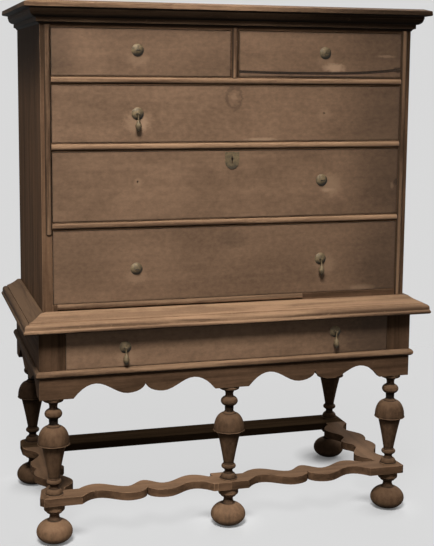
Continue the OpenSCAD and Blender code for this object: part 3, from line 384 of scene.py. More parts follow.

# Marks on single pieces, by x, height and half sizes in metres: rubbed patches round the pulls, pale scratches, the
# crack with its stain and painted shade, some old grime, painted shade and shadow (the cornice's hollows and right
# end, its shadow on the case sides and the short left front, the gap under the short right front, the keyhole, and the
# right ends of the fronts, darker where the light falls off), and the outline that a lost escutcheon has left
pieceMarks = {
    # painted shade: a dark band along the cornice's hollows under its overhang, and its right end darker where the
    # light falls off
    "cornice": [{"kind": "dirty", "at": (0, 1.236), "size": (5, 0.026), "amount": 0.75, "ragged": 0.1},
                {"kind": "dirty", "at": (0.55, 1.262), "size": (0.55, 0.06), "amount": 0.95, "ragged": 0.3}],
    # painted shadow: the cornice's shadow darkens the tops of the case sides
    "case_side_left": [{"kind": "dirty", "at": (0, 1.23), "size": (5, 0.20), "amount": 0.9, "ragged": 0.3}],
    "case_side_right": [{"kind": "dirty", "at": (0, 1.23), "size": (5, 0.20), "amount": 0.6, "ragged": 0.3}],
    # the crack: its stain and painted shade in its groove
    "short_right_front": [{"kind": "crack", "amount": 0.95},
                          {"kind": "pale", "at": (0.2555, 1.1335), "size": (0.036, 0.013), "amount": 0.6},
                          # painted shadow: the dark gap under the short right front
                          {"kind": "dirty", "at": (0.215, 1.1075), "size": (0.34, 0.0075), "amount": 0.95,
                           "ragged": 0.2},
                          {"kind": "pale", "at": (0.3925, 1.162), "size": (0.030, 0.0045), "amount": 0.45},
                          {"kind": "dirty", "at": (0.424, 1.129), "size": (0.014, 0.009), "amount": 0.9},
                          # painted shade: the right end darker, where the light falls off
                          {"kind": "dirty", "at": (0.45, 1.17), "size": (0.20, 0.09), "amount": 0.3, "ragged": 0.5},
                          {"kind": "rubbed", "at": (0.2330, 1.150), "size": (0.030, 0.020), "amount": 0.3}],
    "short_left_front": [{"kind": "rubbed", "at": (-0.2320, 1.148), "size": (0.034, 0.022), "amount": 0.4},
                         # painted shadow: the cornice's shadow on the top left corner
                         {"kind": "dirty", "at": (-0.44, 1.17), "size": (0.08, 0.12), "amount": 0.3, "ragged": 0.6}],
    "upper_front": [{"kind": "rubbed", "at": (-0.2310, 1.003), "size": (0.042, 0.034), "amount": 0.6},
                    {"kind": "pale", "at": (-0.222, 1.000), "size": (0.016, 0.020), "amount": 0.25},
                    {"kind": "outline", "at": (0.0025, 1.060), "size": (0.020, 0.026), "amount": 0.4},
                    {"kind": "rubbed", "at": (0.0025, 1.062), "size": (0.010, 0.012), "amount": 0.4},
                    {"kind": "pale", "at": (0.0701, 0.9610), "size": (0.050, 0.006), "amount": 0.4},
                    {"kind": "rubbed", "at": (0.2320, 1.018), "size": (0.024, 0.020), "amount": 0.3},
                    # painted shade: the right end darker, where the light falls off
                    {"kind": "dirty", "at": (0.46, 1.01), "size": (0.22, 0.14), "amount": 0.45, "ragged": 0.5}],
    # painted shade: the keyhole painted black
    "middle_front": [{"kind": "dirty", "at": (-0.001, 0.916), "size": (0.004, 0.0085), "amount": 1.0, "ragged": 0.1},
                     {"kind": "rubbed", "at": (0.2560, 0.8480), "size": (0.032, 0.040), "amount": 0.6},
                     {"kind": "pale", "at": (0.2430, 0.8360), "size": (0.024, 0.006), "amount": 0.3},
                     {"kind": "rubbed", "at": (-0.2315, 0.8642), "size": (0.014, 0.014), "amount": 0.4},
                     {"kind": "pale", "at": (0.4180, 0.8420), "size": (0.006, 0.010), "amount": 0.5},
                     {"kind": "dirty", "at": (0.4290, 0.8520), "size": (0.008, 0.010), "amount": 0.6},
                     # painted shade: the right end darker, where the light falls off
                     {"kind": "dirty", "at": (0.46, 0.86), "size": (0.20, 0.18), "amount": 0.48, "ragged": 0.5}],
    "lower_front": [{"kind": "rubbed", "at": (0.2436, 0.6505), "size": (0.036, 0.032), "amount": 0.5},
                    {"kind": "dirty", "at": (0.0026, 0.721), "size": (0.050, 0.028), "amount": 0.3},
                    {"kind": "rubbed", "at": (-0.2350, 0.640), "size": (0.034, 0.024), "amount": 0.45},
                    {"kind": "pale", "at": (0.3424, 0.5870), "size": (0.044, 0.011), "amount": 0.4},
                    # painted shade: the right end darker, where the light falls off
                    {"kind": "dirty", "at": (0.46, 0.65), "size": (0.21, 0.19), "amount": 0.5, "ragged": 0.5}],
    "stand_drawer_front": [{"kind": "rubbed", "at": (-0.2600, 0.452), "size": (0.036, 0.024), "amount": 0.35},
                           {"kind": "rubbed", "at": (0.2700, 0.460), "size": (0.034, 0.022), "amount": 0.3},
                           # painted shade: the right end darker, where the light falls off
                           {"kind": "dirty", "at": (0.45, 0.46), "size": (0.26, 0.12), "amount": 0.7, "ragged": 0.5}],
}
markedRuns = {"cornice": "XY", "case_side_left": "Z", "case_side_right": "Z"}  # which way the marked boards run
# painted shade: the keyhole in the escutcheon plate painted black
keyholeShade = [{"kind": "dirty", "at": (-0.001, 0.916), "size": (0.0036, 0.0085), "amount": 1.0, "ragged": 0.1}]
# painted shade along the gaps round each front
gapShadeLine = {"kind": "border", "width": 0.004, "inset": 0.0005, "amount": 0.2}
# The dark paint serves both old grime and painted shade, the paint along the edges of the fronts is painted shade, and
# the crack's paint is partly painted shade
markPaints = {"rubbed": rgb(0.262, 0.163, 0.098), "pale": rgb(0.388, 0.250, 0.156),
              "outline": rgb(0.034, 0.021, 0.012), "dirty": rgb(0.025, 0.015, 0.009),
              "crack": rgb(0.006, 0.004, 0.003), "border": rgb(0.012, 0.008, 0.006)}
usualRaggedness = 1.1
markDepth = 10  # in metres, so that a mark reaches right through its piece

dryingCrack = {  # in metres, but the bend and the soft ends are shares of the length
    "start": 0.0135, "length": 0.4175, "height": 1.1194, "droop": 0.0026, "lift": 0.011, "bend": 0.4,
    "halfWidth": 0.0018, "stain": 0.0044, "ends": 0.01,
}


# Dark along the open crack, which follows the same line as the groove in the front: partly its stain, partly painted
# shade in the groove
def crackMask(tree, coordinate):
    crack = dryingCrack
    x, _, z = splitVector(tree, coordinate)
    along = mathNode(tree, "DIVIDE", mathNode(tree, "SUBTRACT", x, crack["start"]), crack["length"])
    early = mathNode(tree, "SUBTRACT", 1.0, mathNode(tree, "DIVIDE", along, crack["bend"]), True)
    late = mathNode(tree, "DIVIDE", mathNode(tree, "SUBTRACT", along, crack["bend"]), 1 - crack["bend"], True)
    droop = mathNode(tree, "MULTIPLY", mathNode(tree, "POWER", early, 2.0), crack["droop"])
    lift = mathNode(tree, "MULTIPLY", mathNode(tree, "POWER", late, 3.0), crack["lift"])
    height = mathNode(tree, "ADD", mathNode(tree, "ADD", droop, lift), crack["height"])
    gap = mathNode(tree, "ABSOLUTE", mathNode(tree, "SUBTRACT", z, height))
    ends = mathNode(tree, "MULTIPLY", rangeNode(tree, along, -crack["ends"], crack["ends"]),
                    rangeNode(tree, along, 1 + crack["ends"], 1 - crack["ends"]))
    return mathNode(tree, "MULTIPLY", rangeNode(tree, gap, crack["stain"], crack["halfWidth"]), ends)


# Painted shade along the four edges of a front, where the gaps round it are dark
def gapShadeMask(tree, coordinate, mark):
    x, _, z = splitVector(tree, coordinate)
    sides = []
    for position, low, high in zip((x, z), mark["low"], mark["high"]):
        offset = mathNode(tree, "ABSOLUTE", mathNode(tree, "SUBTRACT", position, (low + high) / 2))
        half = (high - low) / 2
        sides.append(rangeNode(tree, offset, half - mark["width"], half - mark["inset"]))
    return mathNode(tree, "MAXIMUM", sides[0], sides[1])


def patchMask(tree, coordinate, mark):
    patch = useGroup(tree, groups["patch"], Vector=coordinate, Centre=(mark["at"][0], 0, mark["at"][1]),
                     Size=(mark["size"][0], markDepth, mark["size"][1]),
                     Raggedness=mark.get("ragged", usualRaggedness))
    return patch.outputs["Outline" if mark["kind"] == "outline" else "Mask"]


def addMarks(tree, coordinate, colour, marks):
    for mark in marks:
        if mark["kind"] == "crack":
            mask = crackMask(tree, coordinate)
        elif mark["kind"] == "border":
            mask = gapShadeMask(tree, coordinate, mark)
        else:
            mask = patchMask(tree, coordinate, mark)
        colour = mixColour(tree, mathNode(tree, "MULTIPLY", mask, mark["amount"]), colour, markPaints[mark["kind"]])
    return colour


woodSurface = {"rough": 0.08, "bump": 0.3, "bumpDepth": 0.0005, "coatRoughness": 0.35, "flankTurn": (0.3, 0.75)}


def woodMaterial(slotName, axis, label="", marks=(), **changes):
    look = {**woodLooks[slotName], **changes}
    material, tree, shader = newMaterial(slotName + axis + label)
    coordinate = addNode(tree, "ShaderNodeTexCoord").outputs["Object"]
    mapping = addNode(tree, "ShaderNodeMapping")
    mapping.inputs["Rotation"].default_value = grainTurn[axis]
    tree.links.new(coordinate, mapping.inputs["Vector"])
    wood = useGroup(tree, groups["wood"], Vector=mapping.outputs[0], Board=readAttribute(tree, "board"),
                    Dark=look["dark"], Light=look["light"], Pores=look["pores"], Streaks=look["streaks"],
                    Mottle=look["mottle"], Board_Shift=look["shift"])
    normal = splitVector(tree, addNode(tree, "ShaderNodeNewGeometry").outputs["Normal"])
    marked = addMarks(tree, coordinate, wood.outputs["Color"], marks)
    wear = useGroup(tree, groups["wear"], Vector=mapping.outputs[0], Color=marked,
                    Edge=readAttribute(tree, "edge"), Hollow=readAttribute(tree, "hollow"),
                    Upward=normal[2], Top_Wear=look["topWear"], Grime=look["grime"], Worn=look["worn"],
                    Scuffs=look["scuffs"])
    if axis == "Z" and "flank" in look:  # painted shade on the flanks of an upright bead, which face away from the light
        sideways = mathNode(tree, "ABSOLUTE", normal[0])
        tree.links.new(rangeNode(tree, sideways, *woodSurface["flankTurn"], 0.0, look["flank"]), wear.inputs["Flank"])
    # the tone attribute also darkens some pieces as painted shade
    toned = addNode(tree, "ShaderNodeHueSaturation")
    tree.links.new(wear.outputs["Color"], toned.inputs["Color"])
    tree.links.new(readAttribute(tree, "tone"), toned.inputs["Value"])
    tree.links.new(toned.outputs[0], shader.inputs["Base Color"])
    rough = mathNode(tree, "ADD", wood.outputs["Roughness"], look["dull"] + woodSurface["rough"])
    tree.links.new(rough, shader.inputs["Roughness"])
    addBump(tree, shader, wood.outputs["Height"], woodSurface["bump"], woodSurface["bumpDepth"])
    shader.inputs["Specular IOR Level"].default_value = look["shine"]
    shader.inputs["Coat Weight"].default_value = look["coat"]
    shader.inputs["Coat Roughness"].default_value = woodSurface["coatRoughness"]
    return material


metalLooks = {
    "brass": {"dark": rgb(0.080, 0.055, 0.027), "light": rgb(0.155, 0.106, 0.050), "bright": rgb(0.24, 0.167, 0.082),
              "metal": 0.35, "rough": 0.45},
    "iron": {"dark": rgb(0.03, 0.028, 0.026), "light": rgb(0.09, 0.085, 0.08), "bright": rgb(0.15, 0.142, 0.135),
             "metal": 0.7, "rough": 0.45},
}
metalSurface = {
    "stain": {"stretch": (120.0, 120.0, 120.0), "detail": 5.0, "roughness": 0.65}, "stainRange": (0.35, 0.65),
    "pits": {"stretch": (900.0, 900.0, 900.0), "detail": 3.0}, "bump": 0.2, "bumpDepth": 0.0003,
    "edgeRub": 0.7, "roughSpread": 0.3, "dirt": rgb(0.012, 0.010, 0.007),
}


def metalMaterial(slotName, label="", marks=()):
    look = metalLooks[slotName]
    material, tree, shader = newMaterial(slotName + label)
    coordinate = addNode(tree, "ShaderNodeTexCoord").outputs["Object"]
    stain = stretchedNoise(tree, coordinate, **metalSurface["stain"])
    tarnished = mixColour(tree, rangeNode(tree, stain, *metalSurface["stainRange"]), look["dark"], look["light"])
    edge = mathNode(tree, "MULTIPLY", readAttribute(tree, "edge"), metalSurface["edgeRub"])
    marked = addMarks(tree, coordinate, mixColour(tree, edge, tarnished, look["bright"]), marks)
    # on brass the hollow attribute carries painted shade on the bosses and drop tips, and the darkened wire staples
    shown = mixColour(tree, readAttribute(tree, "hollow"), marked, metalSurface["dirt"])
    tree.links.new(shown, shader.inputs["Base Color"])
    shader.inputs["Metallic"].default_value = look["metal"]
    rough = mathNode(tree, "ADD", mathNode(tree, "MULTIPLY", stain, metalSurface["roughSpread"]), look["rough"])
    tree.links.new(rough, shader.inputs["Roughness"])
    pits = stretchedNoise(tree, coordinate, **metalSurface["pits"])
    addBump(tree, shader, pits, metalSurface["bump"], metalSurface["bumpDepth"])
    return material


materials = {}
for slotName in woodLooks:
    for axis in "XYZ":
        materials[slotName + axis] = woodMaterial(slotName, axis)
for node, marks in pieceMarks.items():
    if node.endswith("front"):
        lo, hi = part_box(node)
        marks = marks + [{**gapShadeLine, "low": (lo.x, lo.z), "high": (hi.x, hi.z)}]
    for axis in markedRuns.get(node, "X"):
        materials[node + axis] = woodMaterial(slotOf[node], axis, node, marks)
materials["stretcher_backX"] = woodMaterial(slotOf["stretcher_back"], "X", "_back", shine=0.0, topWear=0.0)
for slotName in metalLooks:
    materials[slotName] = metalMaterial(slotName)
materials["middle_brass"] = metalMaterial("brass", "_plate", keyholeShade)
print("materials made:", len(materials))


# Mesh helpers

dice = random.Random(1705)
smoothBelow = math.radians(32)  # a sharper edge than this stays sharp, or is eased


# Wood has a material for each way that a board can run, in the order x, y, z; metal has one
def finishPiece(bm, node, ending):
    for face in bm.faces:
        face.smooth = True
    for edge in bm.edges:
        edge.smooth = len(edge.link_faces) != 2 or edge.calc_face_angle(0) < smoothBelow
    mesh = bpy.data.meshes.new(node + ending)
    bm.to_mesh(mesh)
    bm.free()
    piece = bpy.data.objects.new(node + ending, mesh)
    bpy.context.scene.collection.objects.link(piece)
    slotName = slotOf[node]
    for axis in ("X", "Y", "Z") if slotName in woodLooks else ("",):
        mesh.materials.append(materials.get(node + axis) or materials[slotName + axis])
    flat = piece.modifiers.new("flatFaces", "WEIGHTED_NORMAL")
    flat.mode = "FACE_AREA"
    flat.weight = 100
    flat.keep_sharp = True
    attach(piece, bodyOf[node])
    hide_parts(node)


def limited(value):
    return min(1.0, max(0.0, value))


# The separate shells of a mesh
def islandsOf(bm):
    seen = set()
    for start in bm.verts:
        if start in seen:
            continue
        seen.add(start)
        island, queue = [], [start]
        while queue:
            vert = queue.pop()
            island.append(vert)
            for edge in vert.link_edges:
                other = edge.other_vert(vert)
                if other not in seen:
                    seen.add(other)
                    queue.append(other)
        yield island


# Painted shade in part: the rear legs, the back stretcher and the side returns of the cornice, waist moulding and
# stand bead are darkened here where less light falls on them
pieceToneAndShade = {  # how pale a piece is against its slot's colour: one number, or one for each way its boards run
    "case_side_left": 1.4, "case_side_right": 1.05,
    "stand_front_frame": 0.85, "stand_side_left": 0.8, "stand_side_right": 0.8,
    "short_left_front": 0.96, "middle_front": 0.94, "lower_front": 0.9, "stand_drawer_front": 1.02,
    "leg_front_left": 0.92, "leg_front_middle": 0.78, "leg_front_right": 0.93,
    "leg_rear_left": 0.28, "leg_rear_right": 0.78,
    "foot_front_left": 1.52, "foot_front_middle": 1.42, "foot_front_right": 0.83,
    "foot_rear_left": 0.6, "foot_rear_right": 0.72,
    "stretcher_front_left": 1.45, "stretcher_front_right": 1.18, "stretcher_right": 1.12, "stretcher_back": 0.3,
    "waist_moulding": (1.35, 0.5, 1.0), "cornice": (1.18, 0.42, 1.0), "stand_bead": (1.15, 0.6, 1.0),
    "bead_moulding": (1.28, 1.0, 0.92),
}

# The lowest bead is duller than the others, and the one on the partition paler
beadTones = {"lowHeight": 0.6, "low": 0.72, "partitionReach": 0.1, "partition": 1.35}


def beadShade(island):
    if max(v.co.z for v in island) < beadTones["lowHeight"]:
        return beadTones["low"]
    if max(abs(v.co.x) for v in island) < beadTones["partitionReach"]:
        return beadTones["partition"]
    return 1.0


# Each separate board gets its grain along its longest side, its own number between 0 and 1, and its tone, with the
# painted shade that some pieces carry
def nameBoards(bm, node, axis=None):
    board = bm.verts.layers.float.new("board")
    tone = bm.verts.layers.float.new("tone")
    tones = pieceToneAndShade.get(node, 1.0)
    for island in islandsOf(bm):
        number = dice.random()
        if axis is None:
            size = [max(v.co[i] for v in island) - min(v.co[i] for v in island) for i in range(3)]
            longest = size.index(max(size))
        else:
            longest = axis
        shade = tones[longest] if isinstance(tones, tuple) else tones
        if node == "bead_moulding":
            shade *= beadShade(island)
        for vert in island:
            vert[board] = number
            vert[tone] = shade
            for face in vert.link_faces:
                face.material_index = longest


brassShadeMarks = {
    "bossRadius": 0.0145, "bossMargin": 0.002, "wire": 0.8, "wireReach": 0.0045,
    "crescent": 0.92, "middle": 0.3, "across": 0.6, "down": 1.3,  # the painted-shade crescent lies below and right of a boss
    "from": 0.4, "over": 0.35,  # shares of the boss's radius
    "dropTip": 0.75, "dropLength": 0.03, "tipHeight": 0.32, "tipFade": 0.2,
}


# Painted shade: a dark crescent on the lower right of each boss, which turns from the light, and dark tips on the
# drops, whose lower ends face away from it; the wire staples are darkened as well
def paintBrassShade(bm):
    hollow = bm.verts.layers.float.new("hollow")
    radius = brassShadeMarks["bossRadius"]
    for island in islandsOf(bm):
        lo = [min(v.co[i] for v in island) for i in range(3)]
        hi = [max(v.co[i] for v in island) for i in range(3)]
        width, height = hi[0] - lo[0], hi[2] - lo[2]
        isBoss = abs(width - 2 * radius) < brassShadeMarks["bossMargin"]
        for vert in island:
            if isBoss and vert.co.y < lo[1] + brassShadeMarks["wireReach"]:
                vert[hollow] = brassShadeMarks["wire"]
            elif isBoss:
                across, up = vert.co.x - (lo[0] + hi[0]) / 2, vert.co.z - (lo[2] + hi[2]) / 2
                lower = limited(brassShadeMarks["middle"] + (brassShadeMarks["across"] * across - brassShadeMarks["down"] * up) / radius)
                outer = limited((math.hypot(across, up) / radius - brassShadeMarks["from"]) / brassShadeMarks["over"])
                vert[hollow] = brassShadeMarks["crescent"] * lower * outer
            elif height > brassShadeMarks["dropLength"]:
                up = (vert.co.z - lo[2]) / height
                vert[hollow] = brassShadeMarks["dropTip"] * limited((brassShadeMarks["tipHeight"] - up) / brassShadeMarks["tipFade"])


easing = {"merge": 0.00001, "flatBelow": math.radians(0.6), "segments": 2}


# Gives a copy of the solid soft edges, which the wear then rubs pale
def easeCad(node, ease):
    bm = bmesh.new()
    bm.from_mesh(frame["nodes"][node].data)
    bmesh.ops.remove_doubles(bm, verts=bm.verts, dist=easing["merge"])
    bmesh.ops.dissolve_limit(bm, angle_limit=easing["flatBelow"], verts=bm.verts, edges=bm.edges)
    sharp = [e for e in bm.edges if len(e.link_faces) == 2 and e.calc_face_angle(0) > smoothBelow]
    rim = bm.verts.layers.float.new("edge")
    made = bmesh.ops.bevel(bm, geom=sharp, offset=ease, offset_type="OFFSET", affect="EDGES",
                           segments=easing["segments"], profile=0.5, material=-1, clamp_overlap=True)
    strip = set(made["faces"])
    for vert in made["verts"]:
        if vert.is_valid and all(face in strip for face in vert.link_faces):
            vert[rim] = 1.0
    if slotOf[node] in woodLooks:
        nameBoards(bm, node)
    elif slotOf[node] == "brass":
        paintBrassShade(bm)
    finishPiece(bm, node, "_eased")


boardEase = {  # widths of the worn edges, in metres
    "stretcher_front_left": 0.003, "stretcher_front_right": 0.003, "stretcher_left": 0.0028,
    "stretcher_right": 0.0028, "stretcher_back": 0.0015, "apron_front": 0.0009, "stand_side_left": 0.0009,
    "stand_side_right": 0.0009, "stand_back": 0.001, "stand_front_frame": 0.0006, "leg_blocks": 0.001,
    "stand_runners": 0.001, "waist_moulding": 0.0008, "stand_bead": 0.0004, "case_side_left": 0.001,
    "case_side_right": 0.001, "case_top": 0.001, "case_bottom": 0.0008, "case_back": 0.0012, "drawer_rails": 0.0005,
    "top_divider": 0.0005, "drawer_runners": 0.001, "cornice": 0.0007, "bead_moulding": 0.0003,
    "short_left_front": 0.0009, "short_right_front": 0.0009, "upper_front": 0.0009, "middle_front": 0.0009,
    "lower_front": 0.0009, "stand_drawer_front": 0.0009, "short_left_box": 0.0007, "short_right_box": 0.0007,
    "upper_box": 0.0007, "middle_box": 0.0007, "lower_box": 0.0007, "stand_drawer_box": 0.0007,
}
for node, ease in boardEase.items():
    easeCad(node, ease)
print("boards eased:", len(boardEase))


def arcPoints(centre, rx, rz, start, end, steps):
    points = []
    for i in range(steps + 1):
        a = math.radians(start + (end - start) * i / steps)
        points.append((centre[0] + rx * math.cos(a), centre[1] + rz * math.sin(a)))
    return points


# Small steps of an outline, as offsets from one radius and height
def stepsFrom(radius, height, offsets):
    return [(radius + out, height + up) for out, up in offsets]


turnedWear = {"edge": 1.2, "hollow": 1.3}  # how strongly an outward bend in the outline rubs pale, and how strongly an inward bend darkens, partly with dirt and partly as painted shade
mergeBelow = 0.000002


# Spins an outline of radius and height, given in metres, about the upright axis through (x, y)
def turnPiece(bm, outline, x, y, steps):
    verts = [bm.verts.new((x + r, y, z)) for r, z in outline]
    edges = [bm.edges.new(pair) for pair in zip(verts, verts[1:])]
    rim = bm.verts.layers.float.get("edge")
    hollow = bm.verts.layers.float.get("hollow")
    for i, vert in enumerate(verts[1:-1], 1):
        (r0, z0), (r1, z1), (r2, z2) = outline[i - 1:i + 2]
        first, second = Vector((r1 - r0, z1 - z0)), Vector((r2 - r1, z2 - z1))
        if first.length > 0 and second.length > 0:
            bend = first.angle_signed(second)
            vert[rim] = limited(-bend * turnedWear["edge"])
            vert[hollow] = limited(bend * turnedWear["hollow"])
    bmesh.ops.spin(bm, geom=verts + edges, cent=(x, y, 0), axis=(0, 0, 1), angle=math.tau, steps=steps,
                   use_merge=True, use_duplicate=False)
    bmesh.ops.remove_doubles(bm, verts=bm.verts, dist=mergeBelow)
    bmesh.ops.recalc_face_normals(bm, faces=bm.faces)


# Radii and heights in metres: those marked Down are measured from the top of the leg, those marked Up from its foot,
# and pairs are small steps outwards and upwards
legTurning = {
    "low": 0.1185, "high": 0.3575, "neck": 0.0098,
    "cone": 0.0225, "coneFoot": ((0, 0.0002), (0, 0.002), (-0.0028, 0.0038)), "coneTop": 0.002, "coneRise": 0.0155,
    "coneSwell": 0.7, "hollow": 0.005,
    "ring": 0.018, "ringHalf": 0.006, "ringUp": 0.0325,
    "shaftUp": 0.041, "shaftFoot": 0.0128, "shaftStep": ((0.0006, -0.0005), (0, 0.001)), "shaftTop": 0.0295,
    "shaftHollow": 0.2, "shaftGap": 0.001,
    "cup": 0.0376, "cupDown": 0.114, "cupBand": 0.004, "cupRise": 0.039, "shoulder": 0.005,
    "lip": 0.0012, "lipLine": ((-0.003, -0.0003), (-0.0006, 0), (0, 0.0008), (-0.0008, 0.0022), (-0.0012, 0.0032)),
    "cupNeck": ((0.004, 0.003), (0.0007, 0.006)),
    "ball": 0.021, "ballHalf": 0.014, "ballDown": 0.040, "neckDown": 0.0255,
    "cove": 0.0105, "coveDown": 0.021,
    "collar": 0.0245, "collarDown": 0.006, "collarRound": 0.0035, "collarTop": ((0, -0.003), (-0.002, 0)),
    "pin": 0.0085, "pinChamfer": 0.0015, "pinSteps": 24, "steps": 72,
}
legArcs = {  # start and end in degrees, and the number of steps
    "hollow": (200, 150, 5), "ring": (-80, 80, 12), "cup": (4, 86, 20), "ball": (-58, 58, 20),
    "cove": (180, 105, 8), "collar": (-80, 0, 6),
}


# From the cone at the foot, by the ring, shaft, cup and ball, up to the collar
def legOutline(low, high):
    leg, arcs = legTurning, legArcs
    neck, rim = leg["neck"], leg["cup"] + leg["lip"]
    line = [(0, low)] + stepsFrom(leg["cone"], low, leg["coneFoot"])
    widest, coneFoot = line[-1]
    coneTop = low + leg["coneRise"]
    narrowest = neck + leg["coneTop"]
    for i in range(1, 9):  # the cone swells like a cushion
        t = i / 8
        line.append((narrowest + (widest - narrowest) * (1 - t * t) ** leg["coneSwell"],
                     coneFoot + (coneTop - coneFoot) * t))
    hollow = leg["hollow"]
    line += arcPoints((neck + hollow, coneTop + hollow), hollow, hollow, *arcs["hollow"])
    half = leg["ringHalf"]
    line += arcPoints((leg["ring"] - half, low + leg["ringUp"]), half, half, *arcs["ring"])
    shaftZ, cupZ = low + leg["shaftUp"], high - leg["cupDown"]
    line += stepsFrom(leg["shaftFoot"], shaftZ, leg["shaftStep"])
    for i in range(1, 13):  # the shaft's sides are a little hollow
        t = i / 12
        line.append((leg["shaftFoot"] + (leg["shaftTop"] - leg["shaftFoot"]) * t * (1 - leg["shaftHollow"] * (1 - t)),
                     shaftZ + (cupZ - leg["shaftGap"] - shaftZ) * t))
    line += stepsFrom(rim, cupZ, leg["lipLine"])
    cupEnd, domeZ = neck + leg["shoulder"], cupZ + leg["cupBand"]
    line += arcPoints((cupEnd, domeZ), leg["cup"] - cupEnd, leg["cupRise"], *arcs["cup"])
    line += stepsFrom(neck, domeZ + leg["cupRise"], leg["cupNeck"])
    line += arcPoints((0, high - leg["ballDown"]), leg["ball"], leg["ballHalf"], *arcs["ball"])
    line += [(neck, high - leg["neckDown"]), (neck, high - leg["coveDown"])]
    line += arcPoints((neck + leg["cove"], high - leg["coveDown"]), leg["cove"], leg["cove"], *arcs["cove"])
    edge = leg["collarRound"]
    line += arcPoints((leg["collar"] - edge, high - leg["collarDown"]), edge, edge, *arcs["collar"])
    line += stepsFrom(leg["collar"], high, leg["collarTop"]) + [(0, high)]
    return line


def makeLeg(node):
    lo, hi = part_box(node)
    x, y = (lo.x + hi.x) / 2, (lo.y + hi.y) / 2
    low, high = legTurning["low"], legTurning["high"]
    bm = bmesh.new()
    bm.verts.layers.float.new("edge")
    bm.verts.layers.float.new("hollow")
    turnPiece(bm, legOutline(low, high), x, y, legTurning["steps"])
    pin, chamfer = legTurning["pin"], legTurning["pinChamfer"]
    for start, end in ((lo.z, low), (high, hi.z)):
        outline = [(0, start), (pin - chamfer, start), (pin, start + chamfer), (pin, end - chamfer),
                   (pin - chamfer, end), (0, end)]
        turnPiece(bm, outline, x, y, legTurning["pinSteps"])
    nameBoards(bm, node, 2)
    finishPiece(bm, node, "_turned")


footTurning = {  # radii and heights in metres
    "height": 0.0985, "sole": 0.016, "soleEdge": ((-0.001, 0), (0.0002, 0.0003)),
    "ball": 0.0434, "ballHalf": 0.0315, "ballMid": 0.0265,
    "neck": 0.0115, "neckHeight": 0.014, "neckStep": (0.001, -0.004), "cove": 0.0085, "coveUp": 0.001,
    "disc": 0.025, "discHeight": 0.019, "discBelow": 0.004, "discAbove": 0.003, "steps": 80,
}
footArcs = {"upperBall": (5, 68, 16), "cove": (180, 100, 8), "discBelow": (-90, 0, 6), "discAbove": (0, 90, 5)}


def footOutline():
    foot, arcs = footTurning, footArcs
    top = foot["height"]
    discZ = top - foot["discHeight"]
    neckZ = discZ - foot["neckHeight"]
    start = math.degrees(math.acos(foot["sole"] / foot["ball"]))
    below = foot["ballMid"] / math.sin(math.radians(start))  # the ball is deeper below its middle, down to the sole
    line = [(0, 0)] + stepsFrom(foot["sole"], 0, foot["soleEdge"])
    line += arcPoints((0, foot["ballMid"]), foot["ball"], below, 2 - start, 0, 14)
    line += arcPoints((0, foot["ballMid"]), foot["ball"], foot["ballHalf"], *arcs["upperBall"])
    line += stepsFrom(foot["neck"], neckZ, [foot["neckStep"]])
    cove, low, high = foot["cove"], foot["discBelow"], foot["discAbove"]
    line += arcPoints((foot["neck"] + cove, neckZ + foot["coveUp"]), cove, cove, *arcs["cove"])
    line += arcPoints((foot["disc"] - low, discZ + low), low, low, *arcs["discBelow"])
    line += arcPoints((foot["disc"] - high, top - high), high, high, *arcs["discAbove"])
    line += [(0, top)]
    return line


def makeFoot(node):
    lo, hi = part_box(node)
    bm = bmesh.new()
    bm.verts.layers.float.new("edge")
    bm.verts.layers.float.new("hollow")
    turnPiece(bm, footOutline(), (lo.x + hi.x) / 2, (lo.y + hi.y) / 2, footTurning["steps"])
    nameBoards(bm, node, 2)
    finishPiece(bm, node, "_turned")


footNodes = [node for node in bodyOf if node.startswith("foot_")]
for node in bodyOf:
    if node.startswith("leg_") and node != "leg_blocks":
        makeLeg(node)
    elif node in footNodes:
        makeFoot(node)
print("legs and feet turned")

metalEase = {
    "short_left_brass": 0.0002, "short_right_brass": 0.0002, "upper_brass": 0.0002, "middle_brass": 0.0002,
    "lower_brass": 0.0002, "stand_brass": 0.0002, "upper_left_drop": 0.0002, "lower_right_drop": 0.0002,
    "stand_left_drop": 0.0002, "stand_right_drop": 0.0002, "lock_case": 0.0005, "lock_bolt": 0.0005,
}
for node, ease in metalEase.items():
    easeCad(node, ease)
print("brasses and lock made:", len(metalEase))


# Floor, light and background

studio = {
    "backdrop": 0.69,  # linear grey that the camera sees behind the chest and on the bare floor
    "ambient": 0.15,
    "shadowShare": 0.08, "footShare": 0.85,  # share of the floor that takes shadows, by the chest and by a foot
    "footNear": 0.02, "footReach": 0.13,  # from here to there the foot's share fades, in metres from its middle
    "floorAlbedo": 0.60,
    "floorNear": 0.75, "floorFar": 1.9,  # where the floor turns into plain backdrop, in metres from the middle
    "floorHalf": 9,
    "lamps": {
        "key": {"place": (-1.0, -2.5, 3.6), "aim": (-0.2, -0.2, 0.65), "size": 1.3, "power": 15.7, "spread": 41},
        "fill": {"place": (-1.6, -3.4, 0.9), "aim": (-0.1, 0, 0.6), "size": 2.4, "power": 12, "spread": 180},
        "side": {"place": (3.2, 0.9, 2.0), "aim": (0.4, 0, 0.6), "size": 1.8, "power": 45, "spread": 180},
        "back": {"place": (1.9, 3.6, 2.2), "aim": (0, 0, 0.6), "size": 2.2, "power": 90, "spread": 180},
    },
}


def seenDirectly(tree, path):
    direct = mathNode(tree, "ADD", path.outputs["Is Camera Ray"], path.outputs["Is Glossy Ray"])
    return mathNode(tree, "ADD", direct, path.outputs["Is Transmission Ray"], True)


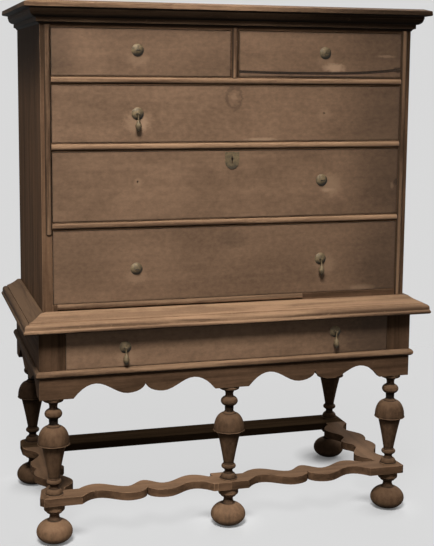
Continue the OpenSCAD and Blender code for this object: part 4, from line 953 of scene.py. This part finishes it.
def makeWorld():
    world = bpy.data.worlds.new("studio")
    bpy.context.scene.world = world
    world.use_nodes = True
    tree = world.node_tree
    ground = tree.nodes["Background"]
    ground.inputs["Color"].default_value = grey(1)
    ground.inputs["Strength"].default_value = studio["ambient"]
    seen = addNode(tree, "ShaderNodeBackground")
    seen.inputs["Color"].default_value = grey(studio["backdrop"])
    path = addNode(tree, "ShaderNodeLightPath")
    mix = addNode(tree, "ShaderNodeMixShader")
    tree.links.new(seenDirectly(tree, path), mix.inputs[0])
    tree.links.new(ground.outputs[0], mix.inputs[1])
    tree.links.new(seen.outputs[0], mix.inputs[2])
    tree.links.new(mix.outputs[0], tree.nodes["World Output"].inputs["Surface"])


def makeLamp(name, look):
    data = bpy.data.lights.new(name, "AREA")
    data.shape = "DISK"
    data.size = look["size"]
    data.energy = look["power"]
    data.spread = math.radians(look["spread"])
    lamp = bpy.data.objects.new(name, data)
    lamp.location = look["place"]
    lamp.rotation_euler = (Vector(look["aim"]) - Vector(look["place"])).to_track_quat("-Z", "Y").to_euler()
    bpy.context.scene.collection.objects.link(lamp)


# The floor glows as the backdrop does, and near the chest part of that glow gives way to light it can shade
def makeFloor():
    bm = bmesh.new()
    bmesh.ops.create_grid(bm, x_segments=2, y_segments=2, size=studio["floorHalf"])
    mesh = bpy.data.meshes.new("floor")
    bm.to_mesh(mesh)
    bm.free()
    floor = bpy.data.objects.new("floor", mesh)
    bpy.context.scene.collection.objects.link(floor)
    material, tree, shader = newMaterial("paleFloor")
    distance = addNode(tree, "ShaderNodeVectorMath", operation="LENGTH")
    place = addNode(tree, "ShaderNodeTexCoord").outputs["Object"]
    tree.links.new(place, distance.inputs[0])
    share = rangeNode(tree, distance.outputs["Value"], studio["floorNear"], studio["floorFar"],
                      studio["shadowShare"], 0.0)
    for node in footNodes:
        lo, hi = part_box(node)
        reach = addNode(tree, "ShaderNodeVectorMath", operation="DISTANCE")
        tree.links.new(place, reach.inputs[0])
        reach.inputs[1].default_value = ((lo.x + hi.x) / 2, (lo.y + hi.y) / 2, 0)
        near = rangeNode(tree, reach.outputs["Value"], studio["footNear"], studio["footReach"],
                         studio["footShare"], 0.0)
        share = mathNode(tree, "MAXIMUM", share, near)
    tree.links.new(mixColour(tree, share, grey(0), grey(studio["floorAlbedo"])), shader.inputs["Base Color"])
    shader.inputs["Roughness"].default_value = 1.0
    shader.inputs["Specular IOR Level"].default_value = 0.0
    shader.inputs["Emission Color"].default_value = grey(studio["backdrop"])
    path = addNode(tree, "ShaderNodeLightPath")
    glow = mathNode(tree, "MULTIPLY", seenDirectly(tree, path), mathNode(tree, "SUBTRACT", 1.0, share))
    tree.links.new(glow, shader.inputs["Emission Strength"])
    mesh.materials.append(material)


makeWorld()
for name, look in studio["lamps"].items():
    makeLamp(name, look)
makeFloor()
print("studio lit")
